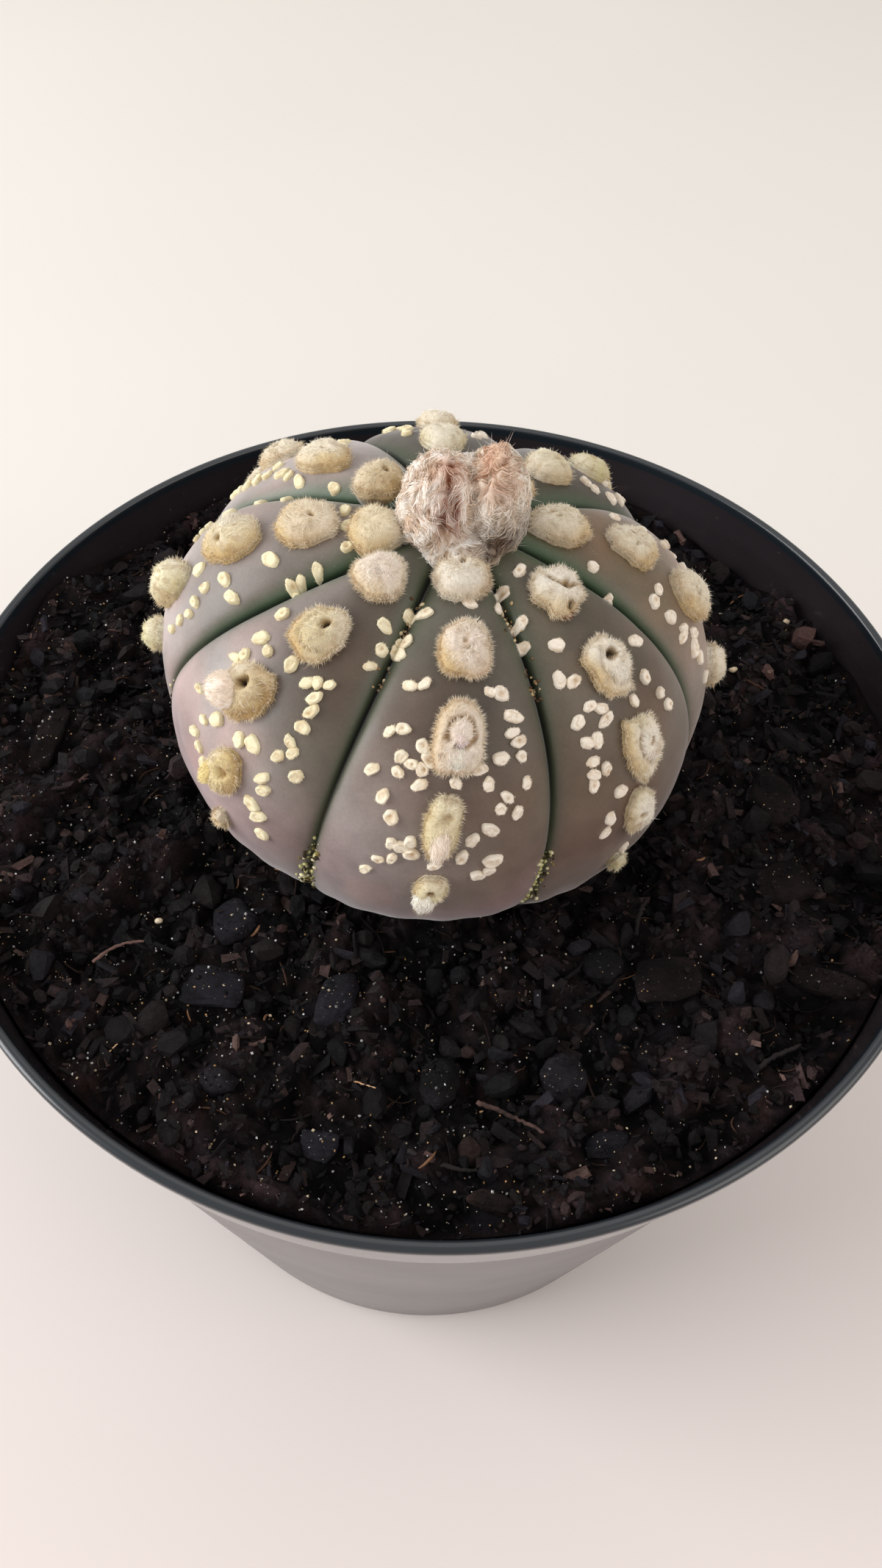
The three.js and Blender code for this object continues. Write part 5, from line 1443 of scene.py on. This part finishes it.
def litter(material, fibre_material, grain_material):
    """Loose crumbs, fibres and sand on the soil."""
    kinds = [
        # name, level, how many, smallest, largest, shapes, how much smaller the usual one is
        ("soil_crumbs_large", 2, 330, 0.9, 2.2, 16, 2.4),
        ("soil_crumbs_small", 1, 1500, 0.42, 1.1, 14, 2.2),
        ("soil_crumbs_fine", 0, 4000, 0.15, 0.50, 14, 1.8),
    ]
    tints = np.array([rgb(16, 13, 14), rgb(30, 25, 25), rgb(44, 36, 35), rgb(34, 35, 42), rgb(56, 47, 46), rgb(20, 17, 19), rgb(76, 60, 55)])
    odds = np.array([0.35, 0.26, 0.13, 0.07, 0.04, 0.12, 0.03])
    for name, level, n, lo, hi, shapes, power in kinds:
        v, f = gem() if level == 0 else ball(level)
        base = []
        for _ in range(shapes):
            if level == 0:
                q = v * (0.65 + 0.6 * rng.random((6, 1))) + 0.18 * rng.normal(size=(6, 3))
            else:
                q = v * rock(v, rng, 9, 9, 0.38)[:, None]
            q = q * [1.0, 0.5 + 0.4 * rng.random(), 0.35 + 0.45 * rng.random()]
            base.append(q + unit(v) * (0.09 * noise(q * 3 + rng.random() * 50, 1.0, 3))[:, None])
        base = np.array(base)
        x, y, z, size = strewn(n, 0.6, lo, hi, power, level > 0)
        m = len(x)
        turn = spin(m, rng)
        pick = rng.integers(shapes, size=m)
        q = np.einsum("nij,nkj->nki", turn, base[pick]) * size[:, None, None]
        q = q + np.stack([x, y, z], -1)[:, None]
        tint = tints[rng.choice(len(tints), m, p=odds)] * (0.6 + 0.6 * rng.random(m))[:, None]
        edge, side = painted_soil_light(x, y)
        # Painted light and shade: crumbs darker in hollows, paler on lumps, towards the right and along the wall.
        tint = tint * ((0.28 + 1.15 * smooth(soil_relief(x, y)[0], -1.0, 1.7)) * edge * (1 + 0.4 * side))[:, None]
        tint = np.repeat(tint[:, None], len(v), 1)
        faces = (f[None] + (np.arange(m) * len(v))[:, None, None]).reshape(-1, 3)
        s = Soup()
        s.add(q.reshape(-1, 3), faces, tint.reshape(-1, 3))
        s.make(name, material, "soil_mix", False)
    # Shreds of bark: thin broken slabs, longer than wide, lying every way.
    corner = np.array([[a, b, c] for a in (-1, 1) for b in (-1, 1) for c in (-1, 1)], float)
    f = np.array([[0, 1, 3], [0, 3, 2], [4, 6, 7], [4, 7, 5], [0, 4, 5], [0, 5, 1], [2, 3, 7], [2, 7, 6], [0, 2, 6], [0, 6, 4], [1, 5, 7], [1, 7, 3]])
    base = np.array([
        (corner + 0.28 * rng.normal(size=(8, 3))) * [1.0, 0.20 + 0.28 * rng.random(), 0.10 + 0.16 * rng.random()] for _ in range(20)
    ])
    x, y, z, size = strewn(5200, 0.6, 0.26, 1.35, 2.4, True)
    m = len(x)
    ya, ta, ra = rng.random(m) * 2 * np.pi, rng.normal(size=m) * 0.32, rng.normal(size=m) * 0.5
    q = base[rng.integers(20, size=m)] * size[:, None, None]
    q = np.stack([q[..., 0], q[..., 1] * np.cos(ra)[:, None] - q[..., 2] * np.sin(ra)[:, None], q[..., 1] * np.sin(ra)[:, None] + q[..., 2] * np.cos(ra)[:, None]], -1)
    q = np.stack([q[..., 0] * np.cos(ta)[:, None] + q[..., 2] * np.sin(ta)[:, None], q[..., 1], q[..., 2] * np.cos(ta)[:, None] - q[..., 0] * np.sin(ta)[:, None]], -1)
    q = np.stack([q[..., 0] * np.cos(ya)[:, None] - q[..., 1] * np.sin(ya)[:, None], q[..., 0] * np.sin(ya)[:, None] + q[..., 1] * np.cos(ya)[:, None], q[..., 2]], -1)
    q = q + np.stack([x, y, z - 0.3 * size], -1)[:, None]
    far = np.linalg.norm(q[..., :2], axis=2).max(1)
    ok = (far < inside_radius(z) - 0.1) & ~under_plant(x, y, z + size)
    q = q[ok]
    m = len(q)
    tint = np.array([rgb(18, 14, 15), rgb(36, 28, 29), rgb(54, 45, 44), rgb(84, 70, 65), rgb(34, 34, 41), rgb(110, 94, 86)])[rng.choice(6, m, p=[0.40, 0.29, 0.12, 0.05, 0.12, 0.02])]
    edge, side = painted_soil_light(x, y)
    # Painted light and shade: shreds darker in hollows, paler on lumps, towards the right and along the wall.
    tint = tint * ((0.28 + 1.15 * smooth(soil_relief(x, y)[0], -1.0, 1.7)) * edge * (1 + 0.15 * side))[ok][:, None]
    tint = tint[:, None] * (0.6 + 0.8 * rng.random((m, 8)))[..., None]
    s = Soup()
    s.add(q.reshape(-1, 3), (f[None] + (np.arange(m) * 8)[:, None, None]).reshape(-1, 3), tint.reshape(-1, 3))
    s.make("soil_shreds", material, "soil_mix", False)
    # Fibres: thin, brown, lying over the crumbs.
    s = Soup()
    for _ in range(300):
        rad, th = 21 + 34.5 * rng.random() ** 0.7, rng.random() * 2 * np.pi
        x, y = rad * math.cos(th), rad * math.sin(th)
        long = 1.2 + 4.4 * rng.random() ** 2.4
        head = rng.random() * 2 * np.pi
        t = np.linspace(-0.5, 0.5, 7) * long
        sway = rng.normal() * 0.25 * (1 - (2 * t / long) ** 2) * long * 0.5
        px = x + math.cos(head) * t - math.sin(head) * sway
        py = y + math.sin(head) * t + math.cos(head) * sway
        if np.hypot(px, py).max() > 55.8:
            continue
        lift, _ = soil_relief(px, py)
        z = soil_top(px, py) + np.convolve(np.pad(lift, 1, "edge"), [0.25, 0.5, 0.25], "valid") + 0.10 + 0.22 * rng.random()
        z = z + rng.random() * 0.5 * np.linspace(0, 1, 7)
        if under_plant(px, py, z).any():
            continue
        col = [rgb(44, 33, 29), rgb(74, 52, 42), rgb(26, 22, 21), rgb(120, 88, 66)][rng.choice(4, p=[0.48, 0.18, 0.28, 0.06])]
        tube(s, np.stack([px, py, z], -1), 0.05 + 0.12 * rng.random() ** 2.4, col, 5, np.array([0.5, 0.9, 1, 1, 0.95, 0.8, 0.35]))
    s.make("soil_fibres", fibre_material, "twig")
    # Sand: small pale, golden and glassy grains; the bright ones stand in for glints, painted highlights.
    v, f = gem()
    x, y, z, size = strewn(5200, 0.55, 0.07, 0.22, 2.3, False)
    # More grains to the left and front: painted glints where the light falls.
    some = rng.random(len(x)) < 0.30 + 0.70 * smooth(-x - 0.5 * y, -30, 15)
    x, y, z, size = x[some], y[some], z[some] + 0.06, size[some]
    m = len(x)
    q = np.einsum("nij,kj->nki", spin(m, rng), v * [1, 0.85, 0.7]) * size[:, None, None] + np.stack([x, y, z], -1)[:, None]
    pal = np.array([rgb(226, 206, 176), rgb(206, 164, 110), rgb(232, 230, 228), rgb(150, 146, 146)])
    c = pal[rng.choice(4, m, p=[0.30, 0.18, 0.32, 0.20])] * (0.3 + 0.7 * rng.random(m))[:, None]
    s = Soup()
    s.add(q.reshape(-1, 3), (f[None] + (np.arange(m) * len(v))[:, None, None]).reshape(-1, 3), np.repeat(c[:, None], len(v), 1).reshape(-1, 3))
    s.make("sand_grains", grain_material, "pale_grain", False)


# ------------------------------------------------------------------ pot
def pot_piece(material):
    R = 60.0
    lip = [
        (59.34, H - 1.62), (59.6, H - 1.59), (59.8, H - 1.53), (59.9, H - 1.44), (59.95, H - 1.32), (59.975, H - 1.1),
        (60.0, H - 0.62), (59.98, H - 0.44), (59.9, H - 0.27), (59.76, H - 0.13), (59.54, H - 0.04), (59.3, H),
        (59.12, H), (58.94, H - 0.05), (58.8, H - 0.17), (58.71, H - 0.36), (58.66, H - 0.7),
    ]
    profile = [(0.0, 0.0), (5, 0), (10.4, 0.0), (10.9, 0.12), (11.3, 0.6), (12.0, 1.4), (12.6, 1.72), (13.4, 1.8), (24, 1.8), (37.6, 1.8), (38.4, 1.72), (38.9, 1.3), (39.5, 0.35), (39.9, 0.06), (40.5, 0.0), (43.9, 0.0), (44.5, 0.12), (45.0, 0.5), (45.3, 1.0)]
    profile += [(wall_radius(z), z) for z in (1.6, 4, 12, 24, 36, 48, 60, 72, 82, H - 13)]
    profile += [(57.6, H - 12.4), (57.68, H - 12.0), (57.85, H - 11.6), (58.08, H - 11.2), (58.27, H - 10.7), (58.37, H - 10.1), (58.56, H - 8), (58.86, H - 5), (59.1, H - 2.8), (59.2, H - 1.8)]
    profile += lip
    profile += [(58.5, H - 1.7), (58.05, H - 3.6), (57.7, H - 5), (57.38, H - 11.1), (wall_radius(H - 13) - 1.25, H - 12.6), (wall_radius(H - 14) - 1.3, H - 14)]
    profile += [(wall_radius(z) - 1.3, z) for z in (70, 50, 30, 12, 6)]
    profile += [(wall_radius(5) - 1.5, 4.4), (wall_radius(5) - 1.9, 3.7), (wall_radius(5) - 2.6, 3.4), (38, 3.4), (24, 3.4), (13.2, 3.4), (12.3, 3.0), (11.4, 1.7), (11.0, 1.6), (5, 1.6), (0.0, 1.6)]
    n = 224
    a = 2 * np.pi * np.arange(n) / n
    rows = [np.stack([r * np.cos(a), r * np.sin(a), np.full(n, float(z))], -1) for r, z in profile[1:-1]]
    s = Soup()
    s.add(np.concatenate(rows), grid_faces(len(rows), n)[:, ::-1], (1, 1, 1))
    s.add([[0, 0, profile[0][1]], [0, 0, profile[-1][1]]], np.zeros((0, 3), int), (1, 1, 1))
    s.also(fan_faces(s.n - 2, 0, n, False), 0)
    s.also(fan_faces(s.n - 1, (len(rows) - 1) * n, n, True), 0)
    pot = s.make("pot_moulding", material, "pot_plastic", True, ["nursery_pot"])
    # Drainage holes and the water gaps through the foot ring.
    bm = bmesh.new()
    for i in range(8):
        t = math.radians(45 * (i + 0.5))
        m = Matrix.Translation((31 * MM * math.cos(t), 31 * MM * math.sin(t), 2.5 * MM))
        bmesh.ops.create_cone(bm, cap_ends=True, segments=40, radius1=4 * MM, radius2=4 * MM, depth=4 * MM, matrix=m)
    for i in range(4):
        t = math.radians(90 * i)
        m = Matrix.Rotation(t, 4, "Z") @ Matrix.Translation((42.5 * MM, 0, 0)) @ Matrix.Diagonal((10 * MM, 6 * MM, 2.4 * MM, 1))
        bmesh.ops.create_cube(bm, size=1.0, matrix=m)
    cut = bpy.data.meshes.new("cut")
    bm.to_mesh(cut)
    bm.free()
    tool = bpy.data.objects.new("cut", cut)
    bpy.context.scene.collection.objects.link(tool)
    mod = pot.modifiers.new("holes", "BOOLEAN")
    mod.operation, mod.object, mod.solver = "DIFFERENCE", tool, "EXACT"
    bpy.context.view_layer.update()
    dg = bpy.context.evaluated_depsgraph_get()
    done = bpy.data.meshes.new_from_object(pot.evaluated_get(dg))
    pot.modifiers.clear()
    pot.data = done
    bpy.data.objects.remove(tool)
    pot.data.materials.clear()
    pot.data.materials.append(material)
    pot.data.shade_smooth()
    pot.data.set_sharp_from_angle(angle=math.radians(38))
    return pot


# ------------------------------------------------------------------ build
skin_m = skin_material()
wool_m = wool_material("areole_wool")
crown_m = wool_material("crown_wool", 3600, 0.00008, 0.35, (1.0, 0.975, 0.955))
fleck_m = wool_material("fleck_felt", 4600, 0.00005, 0.3, (1.0, 0.975, 0.945))
cork_m = stone_material("groove_cork", rgb(170, 158, 110), rgb(120, 110, 62), (0.8, 0.95), 1800)
soil_m = soil_material("soil_mix", 0.10)
crumb_m = soil_material("soil_wet_bark", 0.24)
slate_m = stone_material("bark_slate", rgb(12, 11, 14), rgb(42, 40, 47), (0.5, 0.85), 1100, 0.0007, 0.22, (1, 2.5, 1), 0.12)
bark_m = stone_material("bark_brown", rgb(12, 9, 10), rgb(40, 31, 31), (0.55, 0.9), 1100, 0.0007, 0.15, (1, 3, 1), 0.10)
rust_m = stone_material("bark_rusty", rgb(26, 20, 19), rgb(72, 55, 50), (0.7, 0.95), 1300, 0.0006, 0.0, None, 0.10)
pebble_m = stone_material("pebble", rgb(12, 11, 13), rgb(36, 33, 37), (0.45, 0.8), 1500, 0.0007, 0.25, None, 0.12)
grain_m = stone_material("pale_grain", rgb(205, 184, 150), rgb(226, 212, 186), (0.35, 0.6), 2200, 0.00005)
twig_m = stone_material("twig", rgb(50, 38, 36), rgb(122, 94, 86), (0.7, 0.9), 1500, 0.0001, 0.0, None, 0.2)
twig_dark_m = stone_material("twig_dark", rgb(24, 20, 20), rgb(44, 38, 38), (0.6, 0.9), 1500, 0.0001, 0.0, None, 0.2)
straw_m = stone_material("straw", rgb(190, 148, 112), rgb(222, 188, 152), (0.5, 0.7), 1800, 0.00005)
pot_m = pot_material()

cork_n = Nodes("cork_crumbs", 0.9, Specular_IOR_Level=0.2)
cork_a = cork_n.noise(1900, 4, 0.7)
cork_m = cork_n.done(cork_n.shade(cork_n.tint(), cork_n.span(cork_a, 0.3, 0.7, 0.75, 1.25)), None, cork_n.bump(cork_a, 0.0001, 0.8))
fib_n = Nodes("soil_fibre", 0.85, Specular_IOR_Level=0.12)
fib_a = fib_n.noise(1500, 3, 0.6)
fibre_m = fib_n.done(fib_n.shade(fib_n.tint(), fib_n.span(fib_a, 0.3, 0.7, 0.7, 1.3)), None, fib_n.bump(fib_a, 0.0001, 0.6))
sand_n = Nodes("sand", 0.25, Specular_IOR_Level=0.6)
sand_a = sand_n.noise(2500, 3, 0.6)
sand_m = sand_n.done(sand_n.shade(sand_n.tint(), sand_n.span(sand_a, 0.3, 0.7, 0.8, 1.2)), None, sand_n.bump(sand_a, 0.00003, 0.5))

made = {}
made["skin"] = skin_piece().make("cactus_body", skin_m, "cactus_skin", True, ["cactus"])

groups = [("front", AREOLES[:15]), ("sides", AREOLES[15:29]), ("back", AREOLES[29:])]
for label, group in groups:
    cores, fuzz = Soup(), Soup()
    for lat, az, hw, hl, high, extra in group:
        Pad(lat, az, hw, hl, high, **extra).build(cores, fuzz, {"front": 1.0, "sides": 0.74, "back": 0.30}[label])
    made["pads_" + label] = cores.make("areole_felt_" + label, wool_m, "areole_wool")
    made["fuzz_" + label] = fuzz.make("areole_hair_" + label, wool_m, "areole_wool", False)

cores, fuzz = Soup(), Soup()
for rib in FLECKS.values():
    for lat, az in rib:
        fleck(cores, fuzz, lat, az)
cores.make("flecks", fleck_m, "fleck_felt")
fuzz.make("fleck_fuzz", fleck_m, "fleck_felt", False)

cores, fuzz = Soup(), Soup()
crown(cores, fuzz)
cores.make("crown_wool_mass", crown_m, "crown_wool")
fuzz.make("crown_wool_strands", crown_m, "crown_wool", False)

s = Soup()
corks(s)
s.make("groove_cork_crumbs", cork_m, "groove_cork")

soil_piece().make("soil_body", soil_m, "soil_mix", True, ["potting_soil"])
litter(crumb_m, fibre_m, sand_m)
for spec in NUGGETS:
    m, slot = {
        "slate": (slate_m, "bark_slate"), "bark": (bark_m, "bark_brown"), "rust": (rust_m, "bark_rusty"),
        "pebble": (pebble_m, "pebble"), "grain": (grain_m, "pale_grain"),
    }[spec[1]]
    nugget(spec, m, slot)
for spec in TWIGS:
    m, slot = {"twig": (twig_m, "twig"), "twig_dark": (twig_dark_m, "twig"), "straw": (straw_m, "straw")}[spec[1]]
    twig(spec, m, slot)
pot_piece(pot_m)

# ------------------------------------------------------------------ floor, light, camera
floor_mesh = bpy.data.meshes.new("floor")
floor_mesh.from_pydata([(-4, -4, 0), (4, -4, 0), (4, 4, 0), (-4, 4, 0)], [], [(0, 1, 2, 3)])
floor_mesh.materials.append(floor_material())
floor = bpy.data.objects.new("floor", floor_mesh)
bpy.context.scene.collection.objects.link(floor)
floor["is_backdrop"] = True

world = bpy.data.worlds.new("studio")
world.use_nodes = True
bg = world.node_tree.nodes["Background"]
bg.inputs["Color"].default_value = (1.0, 0.965, 0.94, 1)
bg.inputs["Strength"].default_value = 0.58
bpy.context.scene.world = world


def lamp(name, place, target, size, power, colour=(1, 1, 1)):
    data = bpy.data.lights.new(name, "AREA")
    data.shape, data.size, data.energy, data.color = "DISK", size, power, colour
    o = bpy.data.objects.new(name, data)
    d = np.array(target, float) - np.array(place, float)
    z = -unit(d)
    x = unit(np.cross([0, 0, 1.0], z))
    y = np.cross(z, x)
    o.matrix_world = Matrix([[x[0], y[0], z[0], place[0]], [x[1], y[1], z[1], place[1]], [x[2], y[2], z[2], place[2]], [0, 0, 0, 1]])
    bpy.context.scene.collection.objects.link(o)
    return o


lamp("key", (-0.95, -0.05, 0.50), (0, 0, 0.1), 0.84, 10.0, (0.98, 0.99, 1.0))
lamp("fill", (0.85, -0.40, 0.75), (0, 0, 0.05), 0.9, 3.0, (1.0, 0.94, 0.89))
lamp("top", (0.0, 0.3, 1.2), (0, 0, 0.1), 1.0, 1.3, (1.0, 0.98, 0.96))

cam_data = bpy.data.cameras.new("camera")
cam_data.lens, cam_data.sensor_width, cam_data.sensor_fit = 27.042, 36.0, "AUTO"
cam_data.clip_start, cam_data.clip_end = 0.005, 20
cam = bpy.data.objects.new("camera", cam_data)
right = (0.99901104, 0.03565265, 0.0265674)
up = (-0.04445422, 0.81262389, 0.58109056)
fwd = (0.00087188, 0.58169692, -0.81340515)
cam.matrix_world = Matrix(
    [[right[i], up[i], -fwd[i], (0.0, -0.087584, 0.212802)[i]] for i in range(3)] + [[0, 0, 0, 1]]
)
bpy.context.scene.collection.objects.link(cam)
bpy.context.scene.camera = cam
bpy.context.scene.view_settings.view_transform = "Standard"
bpy.context.scene.view_settings.look = "None"

total = 0
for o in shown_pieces():
    o.data.calc_loop_triangles()
    k = len(o.data.loop_triangles)
    total += k
    if k > 20000:
        print("PIECE", o.name, k)
print("TOTAL", total)
